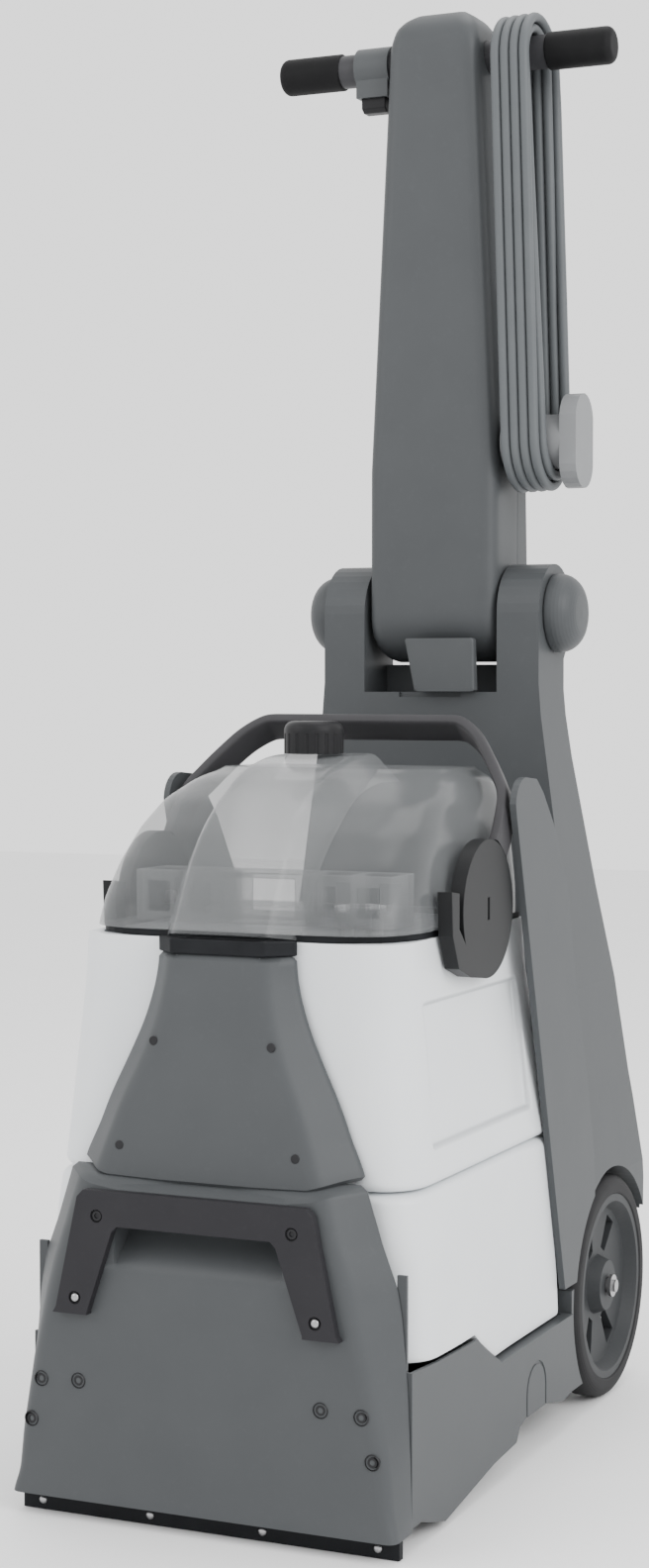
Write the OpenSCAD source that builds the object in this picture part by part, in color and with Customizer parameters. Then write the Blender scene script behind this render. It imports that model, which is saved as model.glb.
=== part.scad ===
// Upright carpet cleaner machine: brush base, lift-off tanks under a clear lid, and a folding mast.
// Millimetres. +Z is up, the nozzle faces -Y. The origin is on the floor, under the middle of the machine.

/* [Base] */
// Width of the base over its side walls
base_w = 290; // [240:2:350]
// Wall of the moulded covers
wall = 3; // [2:0.5:4]
// Distance from the origin forward to the face of the lower front shell
shell_reach = 273; // [265:1:285]
// Height of the seam between the front shell and the front panel
shell_h = 236; // [230:1:240]
// Depth of the shell's finger pocket behind the carry bar
pocket_depth = 27; // [22:1:28]

/* [Brush and drive] */
// Radius of the brush roll over its bristle tips
brush_r = 30; // [25:1:33]
// Gap from the bristle tips to the brush housing
brush_gap = 6; // [4:1:8]
// Radius of the brush shaft
shaft_r = 5; // [4:0.5:6]
// Rows of bristle tufts round the core
tuft_rows = 4; // [2:1:6]
// Tufts in each row
tufts_per_row = 16; // [8:1:24]
// Radius of the brush motor's can
motor_r = 26; // [21:1:31]
// Radius of the brush pulley
brush_pulley_r = 14; // [11:0.5:17]
// Radius of the motor pulley
motor_pulley_r = 8; // [6:0.5:9]
// Width of the drive belt
belt_w = 5; // [4:0.5:6]

/* [Wheels] */
// Radius of the wheel over the tyre
wheel_r = 89.5; // [74:0.5:92]
// Width of the tyre
tyre_w = 28; // [23:1:29]
// Radial thickness of the tyre
tyre_t = 15; // [12:1:18]
// Radius of the axle
axle_r = 6; // [5:0.5:8]

/* [Tanks and lid] */
// Height of the seam between the two tanks
tank_seam_h = 236; // [230:1:240]
// Height of the upper tank's rim
tank_rim_h = 403; // [390:1:440]
// Wall of the tanks
tank_wall = 3; // [2.5:0.5:3.5]
// Rear face of the lower tank
lower_rear = 80; // [76:1:82]
// Rear face of the upper tank
upper_rear = 50; // [44:1:54]
// Height of the clear lid above its seal
lid_h = 109; // [91:1:112]
// Radius of the cap on the lid
cap_r = 22; // [18:1:26]
// Radius of the latch discs
disc_r = 50; // [42:1:60]
// Width of the bail's strap
strap_w = 25; // [20:1:30]

/* [Column and mast] */
// Height of the mast's pivot above the floor
pivot_h = 637; // [630:1:645]
// Radius of the pivot pin
pivot_r = 8; // [6.5:0.5:10]
// Distance from the pivot up to the top of the mast
mast_len = 489; // [470:1:520]
// Half-width of the mast at the pivot
mast_half = 55.5; // [50:0.5:56]
// Half-width of the mast at the top
mast_top_half = 37; // [31:0.5:44]

/* [Handle and cord hook] */
// Radius of the cross-bar tube
bar_r = 13.5; // [11:0.5:16]
// Half-length of the cross-bar over its grips
bar_half = 145; // [120:1:174]
// Length of each grip
grip_len = 55; // [45:1:56]
// Wall of the rubber grips
grip_t = 1.5; // [1:0.5:2]
// Travel of the spray trigger
trigger_travel = 5; // [4:0.5:5]
// Radius of the lower cord hook
hook_r = 22; // [18:0.5:23]

/* [Fits] */
// Radial clearance of a shaft that turns in its bore
run_gap = 0.05; // [0.02:0.01:0.1]
// Gap between parts that move past each other
part_gap = 0.6; // [0.4:0.1:1]

/* [Hidden] */
$fn = 48;
EPS = 0.01;

half_w = base_w / 2;
shell_face = -shell_reach;
strip_face = shell_face + 13;
strip_t = 6;
strip_h = 12;
duct_y = strip_face + strip_t + 0.5;
duct_t = 10;
tray_front = duct_y + duct_t + 1.5;
tray_rear = 88;

housing_r = brush_r + brush_gap + wall;
brush_y = tray_front + wall + 0.5 + housing_r;
brush_z = brush_r + 3.5;
motor_y = brush_y + housing_r + motor_r + 8;
rim_low = 89;
motor_z = rim_low - motor_r - 4;
belt_t = 2;
drive_x = half_w - wall - belt_w - 3;
roll_half = drive_x - 10;

wheel_y = 190.5;
well_r = wheel_r + 7.5;
well_x = half_w - 32;

fin_in = half_w - 5.2;
tank_half = half_w - 0.5;
tank_rear_half = fin_in - part_gap;
rim_half = half_w - 21;
tank_front = shell_face + 43;
rim_rear = upper_rear - 14;
seal_h = 5;
lid_z = tank_rim_h + seal_h;
disc_y = -82;
disc_z = tank_rim_h + 15.5;
disc_in = rim_half + 3;
disc_t = 11;
cap_y = -82;

ear_r = 40;
ear_in = mast_half + 2.5;
ear_out = 94;
pivot_y = 185;
column_top = pivot_h - 37;
column_front = pivot_y - ear_r;
pocket_floor = pivot_h - 64;
cover_t = 3;

mast_top = pivot_h + mast_len;
bar_y = 177;
bar_z = mast_top - 38;
mast_split = 200;
hook_y = 177;
hook_z = bar_z - 313;
hook_in = mast_half + 1;

// Rim of the base in side view, where the lower tank rests: [y, z] from front to rear
rim_line = [[tray_front, 121], [-194, 118], [-120, 116], [-104, 106], [-72, rim_low], [tray_rear, rim_low]];
// Underside of the base in side view, from rear to front
belly_line = [[tray_rear, 29], [64, 26], [25, 34], [-20, 34], [-32, 31], [-40, 21], [-86, 18], [-127, 12], [-181, 4],
    [-212, 12], [-224, 16], [tray_front, 16]];

// ---- helpers ----

// Prism of a front-view outline, given as [x, z] points of its right half from bottom to top
module front_prism(half, y0, y1) {
    outline = concat(half, [for (i = [len(half) - 1:-1:0]) [-half[i][0], half[i][1]]]);
    translate([0, y1, 0]) rotate([90, 0, 0]) linear_extrude(y1 - y0) polygon(outline);
}

// Prism of a side-view outline of [y, z] points
module side_prism(outline, x0, x1) {
    translate([x0, 0, 0]) rotate([90, 0, 90]) linear_extrude(x1 - x0) polygon(outline);
}

// Rod along X
module rod_x(r, x0, x1, y, z) {
    translate([x0, y, z]) rotate([0, 90, 0]) cylinder(r = r, h = x1 - x0);
}

// Rod along Y
module rod_y(r, y0, y1, x, z) {
    translate([x, y0, z]) rotate([-90, 0, 0]) cylinder(r = r, h = y1 - y0);
}

// Block between two corners
module block(a, b) {
    translate(a) cube(b - a);
}

// The same thing on the left and on the right
module both_sides() {
    children();
    mirror([1, 0, 0]) children();
}

// Convex body through level edges, each given as [z, half-width, front y, rear y]
module lofted(levels) {
    hull() for (e = levels) block([-e[1], e[2], e[0]], [e[1], e[3], e[0] + EPS]);
}

// Closed body through rings of points, from the lowest ring up, each counter-clockwise from above
module stacked(rings) {
    n = len(rings[0]);
    top = n * (len(rings) - 1);
    sides = [for (i = [0:len(rings) - 2], k = [0:n - 1]) let (a = n * i + k, b = n * i + (k + 1) % n)
        each [[a, a + n, b + n], [a, b + n, b]]];
    polyhedron([for (r = rings) each r], concat(sides, [[for (k = [0:n - 1]) k], [for (k = [n - 1:-1:0]) top + k]]),
        convexity = 4);
}

function arc(cx, cy, r, a0, a1, n = 8) = [for (i = [0:n]) let (a = a0 + (a1 - a0) * i / n) [cx + r * cos(a), cy + r * sin(a)]];
function mirrored(pts) = [for (i = [len(pts) - 1:-1:0]) [-pts[i][0], pts[i][1]]];
function grown(pts, dy, dz) = [for (p = pts) [p[0] + dy, p[1] + dz]];
// Front edge of the cradle's cheeks at a height
function cheek_front(z) = 68 - (z - 112) * 0.2987;

// Plan outline of a tank: bowed sides that narrow to pass between the cradle's cheeks
function tank_plan(half, half_back, front, rear, c) =
    let (right = concat(arc(half - c, front + c, c, -90, 0),
        [[half, -150], [half_back, -56], [half_back, rear - 10], [half_back - 10, rear]]))
    concat(right, mirrored(right));
// Levels of the two tanks as [z, half-width, half-width at the back, front y, rear y, corner radius]
lower_levels = [[70, tank_half, tank_rear_half, tank_front - 2, lower_rear, 30],
    [190, tank_half, tank_rear_half, tank_front - 2, lower_rear - 12, 30],
    [tank_seam_h - 6, tank_half - 4, tank_rear_half, tank_front, lower_rear - 18, 34],
    [tank_seam_h - 0.5, tank_half - 10, tank_rear_half - 5, tank_front + 5, lower_rear - 23, 36]];
upper_levels = [[tank_seam_h, tank_half - 11, tank_rear_half - 6, tank_front + 5, upper_rear - 5, 36],
    [tank_seam_h + 6, tank_half - 6, tank_rear_half - 0.5, tank_front, upper_rear, 36],
    [tank_rim_h - 36, rim_half + 1.5, rim_half + 1.5, tank_front + 7, rim_rear + 3, 54],
    [tank_rim_h, rim_half, rim_half, tank_front + 9, rim_rear, 58]];
function tank_ring(e, t, z) = [for (q = tank_plan(e[1] - t, e[2] - t, e[3] + t, e[4] - t, e[5] - t)) [q[0], q[1], z]];

// ---- base ----

module wells(grow = 0) {
    both_sides() rod_x(well_r + grow, well_x - grow, half_w + 20, wheel_y, wheel_r);
}

function plug_outline(r) = concat([[3 + r, 33]], arc(3, 50, r, 0, 180, 10), [[3 - r, 33]]);
// Open tub that carries the brush, the drive and the lower tank, with a post at each side behind the shell
module base_tray() {
    deck = concat([[tray_front + wall, 200], [tray_rear - wall, 200], [tray_rear - wall, 29 + wall], [64, 26 + wall],
        [25, 34 + wall], [-20, 34 + wall]], grown([for (i = [4:10]) belly_line[i]], 0, wall),
        [[tray_front + wall, 16 + wall]]);
    color("slategray") difference() {
        union() {
            side_prism(concat(rim_line, belly_line), -half_w, half_w);
            difference() {
                both_sides() side_prism([[tray_front, 90], [-206, 90], [-206, 172], [-210, 180], [-222, 186],
                    [tray_front, 186]], half_w - 11, half_w - 4);
                translate([0, 0, 118]) linear_extrude(100)
                    polygon(tank_plan(tank_half + 0.6, tank_half + 0.6, tank_front - 2.6, lower_rear, 30));
            }
            both_sides() block([half_w - 10, -100, rim_low - 14], [half_w - 0.5, tray_rear - 0.5, rim_low]);
        }
        difference() {
            side_prism(deck, -half_w + wall, half_w - wall);
            wells(wall);
            both_sides() block([half_w - 9.5, -96, rim_low - 8], [half_w, tray_rear, rim_low + 1]);
        }
        block([-roll_half, tray_front - 1, -1], [roll_half, brush_y + housing_r + 1, brush_z - 4]);
        block([-drive_x - belt_w - 2, brush_y - brush_pulley_r - 5, -1],
            [-roll_half + 1, brush_y + brush_pulley_r + 5, brush_z - 4]);
        both_sides() difference() {
            side_prism(plug_outline(22), half_w - 1, half_w + 1);
            side_prism(plug_outline(19.5), half_w - 2, half_w + 2);
        }
        wells();
    }
}

// Inverted trough over the brush roll, with an end plate and shaft bore at each side
module brush_housing() {
    color("dimgray") difference() {
        union() {
            difference() {
                rod_x(housing_r, -roll_half + 0.5, roll_half - 0.5, brush_y, brush_z);
                rod_x(housing_r - wall, -roll_half + 0.5 + wall, roll_half - 0.5 - wall, brush_y, brush_z);
            }
            both_sides() rod_x(shaft_r + 6, roll_half - 6, roll_half - 0.5, brush_y, brush_z);
        }
        block([-roll_half, brush_y - housing_r - 1, -20], [roll_half, brush_y + housing_r + 1, brush_z - 12]);
        rod_x(shaft_r + run_gap, -half_w, half_w, brush_y, brush_z);
        for (x = [-60, 0, 60]) rod_y(4, brush_y - housing_r - 5, brush_y, x, brush_z + brush_r - 4);
    }
}

// Roll with its steel shaft and slanting rows of bristle tufts
module brush_roll() {
    core_r = brush_r * 0.55;
    core_half = roll_half - 0.5 - wall - 5;
    pitch = (2 * core_half - 16) / (tufts_per_row - 1);
    color("silver") rod_x(core_r, -core_half, core_half, brush_y, brush_z);
    color("silver") rod_x(shaft_r, -drive_x - belt_w - 1, roll_half + 2, brush_y, brush_z);
    color("black") for (row = [0:tuft_rows - 1], i = [0:tufts_per_row - 1])
        translate([-core_half + 8 + i * pitch, brush_y, brush_z])
            rotate([row * 360 / tuft_rows + i * 12, 0, 0])
                cylinder(r = 2.2, h = brush_r, $fn = 16);
}

module brush_pulley() {
    color("black") difference() {
        union() {
            rod_x(brush_pulley_r, -drive_x - belt_w, -drive_x, brush_y, brush_z);
            rod_x(brush_pulley_r + belt_t + 1, -drive_x, -drive_x + 1.5, brush_y, brush_z);
        }
        rod_x(shaft_r, -half_w, 0, brush_y, brush_z);
    }
}

module pulley_wrap(grow) {
    hull() {
        translate([brush_y, brush_z]) circle(brush_pulley_r + grow);
        translate([motor_y, motor_z]) circle(motor_pulley_r + grow);
    }
}

module drive_belt() {
    color("black") translate([-drive_x - belt_w + 0.2, 0, 0]) rotate([90, 0, 90]) linear_extrude(belt_w - 0.6)
        difference() {
            pulley_wrap(0.3 + belt_t);
            pulley_wrap(0.3);
        }
}

module motor_pulley() {
    color("silver") {
        rod_x(motor_pulley_r, -drive_x - belt_w, -drive_x, motor_y, motor_z);
        rod_x(4, -drive_x - EPS, -drive_x + 22, motor_y, motor_z);
    }
}

module brush_motor() {
    color("gray") difference() {
        union() {
            rod_x(motor_r, -drive_x + 6, -drive_x + 96, motor_y, motor_z);
            block([-drive_x + 16, motor_y - 12, 17], [-drive_x + 86, motor_y + 12, motor_z - motor_r + 4]);
        }
        rod_x(4 + run_gap, -drive_x, -drive_x + 30, motor_y, motor_z);
    }
}

module pump() {
    color("darkslategray") {
        block([30, -120, 24], [92, -76, 80]);
        rod_x(5, 91, 108, -98, 66);
        rod_x(5, 91, 108, -98, 46);
    }
}

// Row of three spray jets on a feed pipe in front of the brush
module spray_jets() {
    y = brush_y - 18;
    z = brush_z + housing_r + 6;
    color("black") {
        rod_x(4, -90, 90, y, z);
        for (x = [-60, 0, 60]) translate([x, y, z - 6]) cylinder(r = 5, h = 12);
    }
}

// ---- front ----

// Edges of the front shell as [z, half-width, front y, rear y]: the face, then the flanks behind it
function shell_levels(inset, rear_extra) = [
    for (e = [[15, 0, 0], [60, -6, 0], [120, -18, 0], [180, -33, 0], [205, -40, 0], [shell_h, -54, 4],
              [15, 0, 30], [80, -0.5, 30], [158, -2, 30], [178, -4.5, 30], [192, -10, 30], [shell_h, -25, 30]])
        [e[0] - (e[0] < 16 ? inset : 0) - (e[0] == shell_h ? inset : 0), half_w + e[1] - inset,
         shell_face + e[2] + inset, tray_front - 0.3 + rear_extra]];

screw_spots = [[half_w - 53, 98], [half_w - 22, 97], [half_w - 14, 68]];
bracket_spots = [[73.8, 215.3], [90.9, 157.5]];
panel_spots = [[67, 261.5], [45, 334]];

module front_shell() {
    color("slategray") difference() {
        union() {
            difference() {
                lofted(shell_levels(0, 0));
                lofted(shell_levels(wall, 5));
            }
            intersection() {
                lofted(shell_levels(0, 0));
                block([-64 - wall, shell_face, 185 - wall], [64 + wall, shell_face + pocket_depth + wall, shell_h]);
            }
            intersection() {
                lofted(shell_levels(0, 0));
                both_sides() for (s = concat(screw_spots, bracket_spots))
                    rod_y(6, shell_face, shell_face + 13, s[0], s[1]);
            }
        }
        block([-64, shell_face - 1, 185], [64, shell_face + pocket_depth, shell_h - wall]);
        both_sides() for (s = screw_spots) {
            rod_y(4.2, shell_face - 1, shell_face + 2.5, s[0], s[1]);
            rod_y(2.1, shell_face, shell_face + 11.5, s[0], s[1]);
        }
        both_sides() for (s = bracket_spots) rod_y(2.1, shell_face - 1, shell_face + 11.5, s[0], s[1]);
    }
}

// Dark carry bracket: a bar over two splayed legs, screwed to the shell
module carry_bracket() {
    outer = [[108.5, 146], [106, 150], [89, 228], [84, 233]];
    color([0.28, 0.27, 0.29]) difference() {
        front_prism(outer, shell_face - 7, shell_face - 0.05);
        front_prism([[84, 100], [81.5, 148], [62, 205], [58, 209]], shell_face - 10, shell_face + 1);
        both_sides() for (s = bracket_spots) {
            rod_y(4.6, shell_face - 8, shell_face - 5, s[0], s[1]);
            rod_y(2.1, shell_face - 8, shell_face, s[0], s[1]);
        }
    }
}

// Plated screws of the carry bracket and the nozzle strip
module bright_screws() {
    color("silver") {
        both_sides() for (s = bracket_spots) {
            rod_y(4, shell_face - 6.5, shell_face - 5, s[0], s[1]);
            rod_y(2, shell_face - 5 - EPS, shell_face + 11, s[0], s[1]);
        }
        for (x = [-128, -43, 43, 128]) {
            rod_y(4, strip_face - 1.6, strip_face, x * half_w / 145, 6.5);
            rod_y(2, strip_face - EPS, strip_face + strip_t, x * half_w / 145, 6.5);
        }
    }
}

// Tapering panel over the suction duct. Each level is [z, face half-width, foot half-width]
panel_levels = [[shell_h + 1, 84, 108], [262, 77, 100], [293, 66, 88], [321, 52, 74], [347, 42.5, 62], [374, 37.5, 54], [394, 35, 52]];
function panel_face(z) = shell_face + 11 + (z - 237) * 20 / 163;
function panel_rear(z) = tank_front - 1.5 + max(0, z - tank_seam_h - 6) * 8 / 160;
function panel_ring(e, inset, through) =
    let (face = e[1] - inset, foot = e[2] - inset, y = panel_face(e[0]) + inset, rear = panel_rear(e[0]) + through)
    [for (p = [[-foot, rear], [-foot, rear - 3.5], [-face, y], [face, y], [foot, rear - 3.5], [foot, rear]])
        [p[0], p[1], e[0]]];

module front_panel() {
    last = len(panel_levels) - 1;
    color("slategray") difference() {
        stacked([for (e = panel_levels) panel_ring(e, 0, 0)]);
        stacked([for (i = [0:last]) panel_ring(panel_levels[i] + [i == 0 ? -wall : i == last ? wall : 0, 0, 0], wall, 5)]);
        both_sides() for (s = panel_spots) {
            rod_y(3.7, panel_face(s[1]) - 3, panel_face(s[1]) + 1, s[0], s[1]);
            rod_y(1.8, panel_face(s[1]) - 3, panel_face(s[1]) + 8, s[0], s[1]);
        }
    }
}

// Dark screws of the front shell and the front panel
module cover_screws() {
    color("dimgray") both_sides() {
        for (s = screw_spots) {
            rod_y(3.6, shell_face + 0.6, shell_face + 2.4, s[0], s[1]);
            rod_y(2, shell_face + 2.4 - EPS, shell_face + 11, s[0], s[1]);
        }
        for (s = panel_spots) {
            rod_y(3.2, panel_face(s[1]) - 0.6, panel_face(s[1]) + 0.8, s[0], s[1]);
            rod_y(1.6, panel_face(s[1]) + 0.8 - EPS, panel_face(s[1]) + 7, s[0], s[1]);
        }
    }
}

// Black seal on top of the panel, round the mouth of the duct
module panel_band() {
    color("black") difference() {
        linear_extrude(tank_rim_h + 1.4) polygon([[36, panel_face(400)], [52.5, panel_rear(400) - 3.5], [52.5, panel_rear(400)],
            [-52.5, panel_rear(400)], [-52.5, panel_rear(400) - 3.5], [-36, panel_face(400)]]);
        translate([0, 0, -1]) cube([400, 600, 2 * (394.2 + 1)], center = true);
        block([-30, tank_front - 9, 390], [30, tank_front + 1, 450]);
    }
}

module nozzle_strip() {
    color("black") difference() {
        block([-half_w + 1.5, strip_face, 0], [half_w - 1.5, strip_face + strip_t, strip_h]);
        for (x = [-128, -43, 43, 128]) rod_y(2.1, strip_face - 1, strip_face + strip_t + 1, x * half_w / 145, 6.5);
    }
}

// Flat duct from the nozzle slot up to the mouth under the lid: levels of [z, half-width, front y, rear y]
module duct_body(inset) {
    a = [[2, half_w - 6, duct_y, duct_y + duct_t], [164, 78, duct_y, duct_y + duct_t]];
    b = [a[1], [181, 71, tank_front - 12.7, tank_front - 2.8]];
    c = [b[1], [393, 32, tank_front - 10, tank_front - 1]];
    for (s = [[a, inset, 0], [b, 0, 0], [c, 0, inset]]) {
        lofted([for (i = [0, 1]) let (e = s[0][i])
            [e[0] + (i == 0 ? -s[1] - (inset > 0 ? EPS : 0) : s[2] + (inset > 0 ? EPS : 0)), e[1] - inset, e[2] + inset, e[3] - inset]]);
    }
}

module suction_duct() {
    color("darkgray") difference() {
        duct_body(0);
        duct_body(1.5);
    }
}

// ---- column ----

column_foot = 27;
column_half = [[half_w - 2, column_foot], [half_w - 2, 180], [half_w - 11, 256], [half_w - 18, 336], [half_w - 30, 414],
    [half_w - 40, 490], [96, 554], [91, column_top + 20]];
column_back = [[230, column_foot], [276, 130], [277, 165], [267, 235], [249, 320], [230, 420], [211, 520], [206, column_top + 20]];

module column_form(inset, back_inset) {
    intersection() {
        front_prism([for (p = column_half) [p[0] - inset, p[1] + (p[1] == column_foot ? inset : 0)]], 0, 300);
        side_prism(concat([[tray_rear + 1 + inset, column_foot + inset], [tray_rear + 1 + inset, 106], [column_front + inset, 112],
            [column_front + inset, column_top + 20]],
            [for (i = [len(column_back) - 1:-1:0]) [column_back[i][0] - back_inset, column_back[i][1] + (i == 0 ? inset : 0)]]),
            -300, 300);
    }
}

module ear_outline() {
    side_prism(concat([[column_front, pocket_floor - 20]], arc(pivot_y, pivot_h, ear_r, 180, -30, 20),
        [[206, column_top], [206, pocket_floor - 20]]), ear_in, ear_out);
}

// Hollow rear column with the wheel wells at its foot and two ears for the mast's pivot at its top
module rear_frame() {
    color("slategray") difference() {
        union() {
            difference() {
                column_form(0, cover_t + 0.5);
                difference() {
                    column_form(wall, -5);
                    wells(wall);
                    block([-200, 0, pocket_floor - 8], [200, 400, 700]);
                }
            }
            both_sides() ear_outline();
            block([-ear_in, pivot_y + 8, pocket_floor - 8], [ear_in, 206, pivot_h - ear_r - 1.5]);
        }
        block([-ear_in, 0, pocket_floor], [ear_in, pivot_y + 8, 800]);
        block([-ear_in, 0, pivot_h - ear_r - 1.5], [ear_in, 400, 800]);
        wells();
        rod_x(pivot_r + 0.02, -200, 200, pivot_y, pivot_h);
        rod_x(axle_r + 0.02, -200, 200, wheel_y, wheel_r);
        rod_x(3.2, -27, 27, column_front, pocket_floor + 3);
        block([-27, column_front - 5, pocket_floor - 4], [27, column_front + 2.6, pocket_floor + 20]);
    }
}

// Screwed-on back of the column, with vent slots for the vacuum motor
module rear_cover() {
    color("gray") difference() {
        intersection() {
            column_form(4, 0);
            side_prism(concat([for (p = column_back) if (p[1] > 100) [p[0] + 5, p[1]]],
                [for (i = [len(column_back) - 1:-1:0]) if (column_back[i][1] > 100)
                    [column_back[i][0] - cover_t, column_back[i][1]]]), -300, 300);
            block([-200, 0, 132], [200, 400, column_top - 49]);
        }
        for (i = [0:7]) block([-45, 200, 230 + i * 14], [45, 300, 235 + i * 14]);
        wells(1);
    }
}

module vacuum_motor() {
    color("gray") translate([0, 198, 236]) {
        cylinder(r = 44, h = 40);
        cylinder(r = 34, h = 84);
    }
}

// Cradle in front of the column: two cheeks that guide the tanks, a back wall and a hollow box behind it
module tank_cradle() {
    y0 = lower_rear + 9;
    box_levels = [[112, half_w - 6, y0, column_front], [188, half_w - 8, y0, column_front],
        [362, half_w - 24, y0, column_front]];
    color("gray") difference() {
        union() {
            both_sides() side_prism(concat([[cheek_front(112), 112], [cheek_front(487), 487]],
                arc(cheek_front(487) + 20, 490, 21, 175, 90, 6), [[0, 509], [15, 498], [38, 474], [70, 428], [92, 345],
                [122, 262], [138, 205], [141, 150], [141, 112]]), fin_in, half_w);
            difference() {
                lofted(box_levels);
                lofted([for (e = box_levels) [e[0] + (e[0] < 200 ? (e[0] < 120 ? -5 : 0) : -wall), e[1] - wall,
                    e[2] + wall, e[3] + 5]]);
            }
            block([-fin_in - 1, y0, 112], [fin_in + 1, y0 + wall, 200]);
            block([-fin_in - 1, y0, 196], [fin_in + 1, y0 + wall, 330]);
        }
        wells(0);
    }
}

module pivot_cap() {
    r = ear_r - 8;
    color("slategray") translate([ear_out + 0.1, pivot_y, pivot_h]) rotate([0, 90, 0]) rotate_extrude()
        polygon(concat([[0, 0], [r, 0], [r, 4]], arc(r - 19, 4, 19, 0, 90, 10), [[0, 23.5]]));
}
module pivot_cap_right() { pivot_cap(); }
module pivot_cap_left() { mirror([1, 0, 0]) pivot_cap(); }

module pivot_pin() {
    color("silver") rod_x(pivot_r, -ear_out, ear_out, pivot_y, pivot_h);
}

// Spring latch across the mouth of the yoke pocket, hinged at its foot
module mast_latch() {
    color("gray") {
        side_prism([[column_front - 9, pocket_floor + 6], [column_front - 1, pocket_floor + 3],
            [column_front - 1, pocket_floor + 42], [column_front - 5, pocket_floor + 44],
            [column_front - 10, pocket_floor + 38]], -25, 25);
        rod_x(3, -26.5, 26.5, column_front, pocket_floor + 3);
    }
}

// ---- wheels ----

module axle() {
    color("silver") rod_x(axle_r, -half_w + 4, half_w - 4, wheel_y, wheel_r);
}

module axle_bolts() {
    color("silver") both_sides() {
        rod_x(axle_r + 3, half_w - 3.4, half_w - 1, wheel_y, wheel_r);
        rod_x(axle_r - 1, half_w - 4 + EPS, half_w + 1.5, wheel_y, wheel_r);
    }
}

wheel_x = half_w - 2 - tyre_w;
module wheel_turned(points) {
    translate([wheel_x, wheel_y, wheel_r]) rotate([0, 90, 0]) rotate_extrude($fn = 96) polygon(points);
}

module tyre() {
    inner = wheel_r - tyre_t;
    shoulder = 8;
    color([0.2, 0.2, 0.2]) wheel_turned(concat([[inner, 0]],
        arc(wheel_r - shoulder, shoulder, shoulder, -90, 0, 6),
        arc(wheel_r - shoulder, tyre_w - shoulder, shoulder, 0, 90, 6), [[inner, tyre_w]]));
}
module tyre_right() { tyre(); }
module tyre_left() { mirror([1, 0, 0]) tyre(); }

// Dished rim with four tapered slots round a boss
module rim() {
    outer = wheel_r - tyre_t;
    bore = axle_r + run_gap;
    color("gray") difference() {
        wheel_turned([[bore, 2], [20, 2], [20, 8], [outer - 8, 10], [outer - 8, 1], [outer, 1], [outer, tyre_w - 1],
            [outer - 6, tyre_w - 1], [outer - 12, 17], [24, 14], [20, 24], [bore, 24]]);
        for (a = [60, 120, 240, 300]) translate([0, wheel_y, wheel_r]) rotate([a + 90, 0, 0])
            side_prism([[-5, outer * 0.40], [-9, outer * 0.76], [9, outer * 0.76], [5, outer * 0.40]], wheel_x - 5, half_w + 5);
    }
}
module rim_right() { rim(); }
module rim_left() { mirror([1, 0, 0]) rim(); }

// ---- tanks ----

module under_tank(rise) {
    side_prism(concat(grown(rim_line, 0, rise), [[tray_rear, 0], [tray_front, 0]]), -300, 300);
}

// Room in the fronts of both tanks, so that they lift past the panel, its seal and the duct
module lift_way(t) {
    right = [for (e = panel_levels) [max(e[2], 53) + 1 + t, panel_rear(e[0]) + 1.4 + t]];
    linear_extrude(500) polygon(concat([[right[0][0], -400]], right, mirrored(right), [[-right[0][0], -400]]));
}

filler = [0, -60, 25];
// Blow-moulded clean-water tank, closed but for its filler
module lower_tank() {
    color([0.85, 0.87, 0.88]) difference() {
        stacked([for (e = lower_levels) tank_ring(e, 0, e[0])]);
        under_tank(1);
        lift_way(0);
        difference() {
            stacked([for (i = [0:3]) tank_ring(lower_levels[i], tank_wall, lower_levels[i][0] - (i == 3 ? tank_wall : 0))]);
            under_tank(1 + tank_wall);
            lift_way(tank_wall);
        }
        translate([filler[0], filler[1], tank_seam_h - 12]) cylinder(r = filler[2], h = 20);
        translate([0, -60, 80]) cylinder(r = 9.1, h = 40);
    }
}

module tank_valve() {
    color("black") translate([0, -60, rim_low + 1]) {
        cylinder(r = 9, h = 24);
        translate([0, 0, 24 - EPS]) cylinder(r = 13, h = 5);
    }
}

// Recovery tank, open at its rim, with a recessed panel in each side
module upper_tank() {
    function pane(t, e) = [for (q = [[0, -195 + e, tank_seam_h + 24 + e], [0, 16 - e, tank_seam_h + 24 + e],
        [0, 8 - e, tank_rim_h - 42 - e], [0, -186 + e, tank_rim_h - 42 - e]])
        [tank_rear_half - 5 - t - (q[2] - tank_seam_h) * 0.082, q[1], q[2]]];
    module pocket(t, e) {
        a = pane(t, e);
        b = [for (q = pane(-30, e)) q];
        polyhedron(concat(a, b), [[0, 1, 2, 3], [7, 6, 5, 4], [0, 4, 5, 1], [1, 5, 6, 2], [2, 6, 7, 3], [3, 7, 4, 0]]);
    }
    color([0.85, 0.87, 0.88]) difference() {
        stacked([for (e = upper_levels) tank_ring(e, 0, e[0])]);
        difference() {
            stacked([for (i = [0:3]) tank_ring(upper_levels[i], tank_wall,
                upper_levels[i][0] + (i == 0 ? tank_wall : i == 3 ? EPS : 0))]);
            both_sides() pocket(tank_wall, -tank_wall);
            lift_way(tank_wall);
        }
        both_sides() pocket(0, 0);
        lift_way(0);
    }
}

module tank_seal() {
    ring = [rim_half, rim_half, tank_front + 9, rim_rear, 58];
    function seal_plan(t) = tank_plan(ring[0] - t, ring[1] - t, ring[2] + t, ring[3] - t, ring[4] - t);
    color("black") translate([0, 0, tank_rim_h + 0.2]) linear_extrude(seal_h - 0.4) difference() {
        polygon(seal_plan(1.5));
        polygon(seal_plan(9));
    }
}

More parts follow.
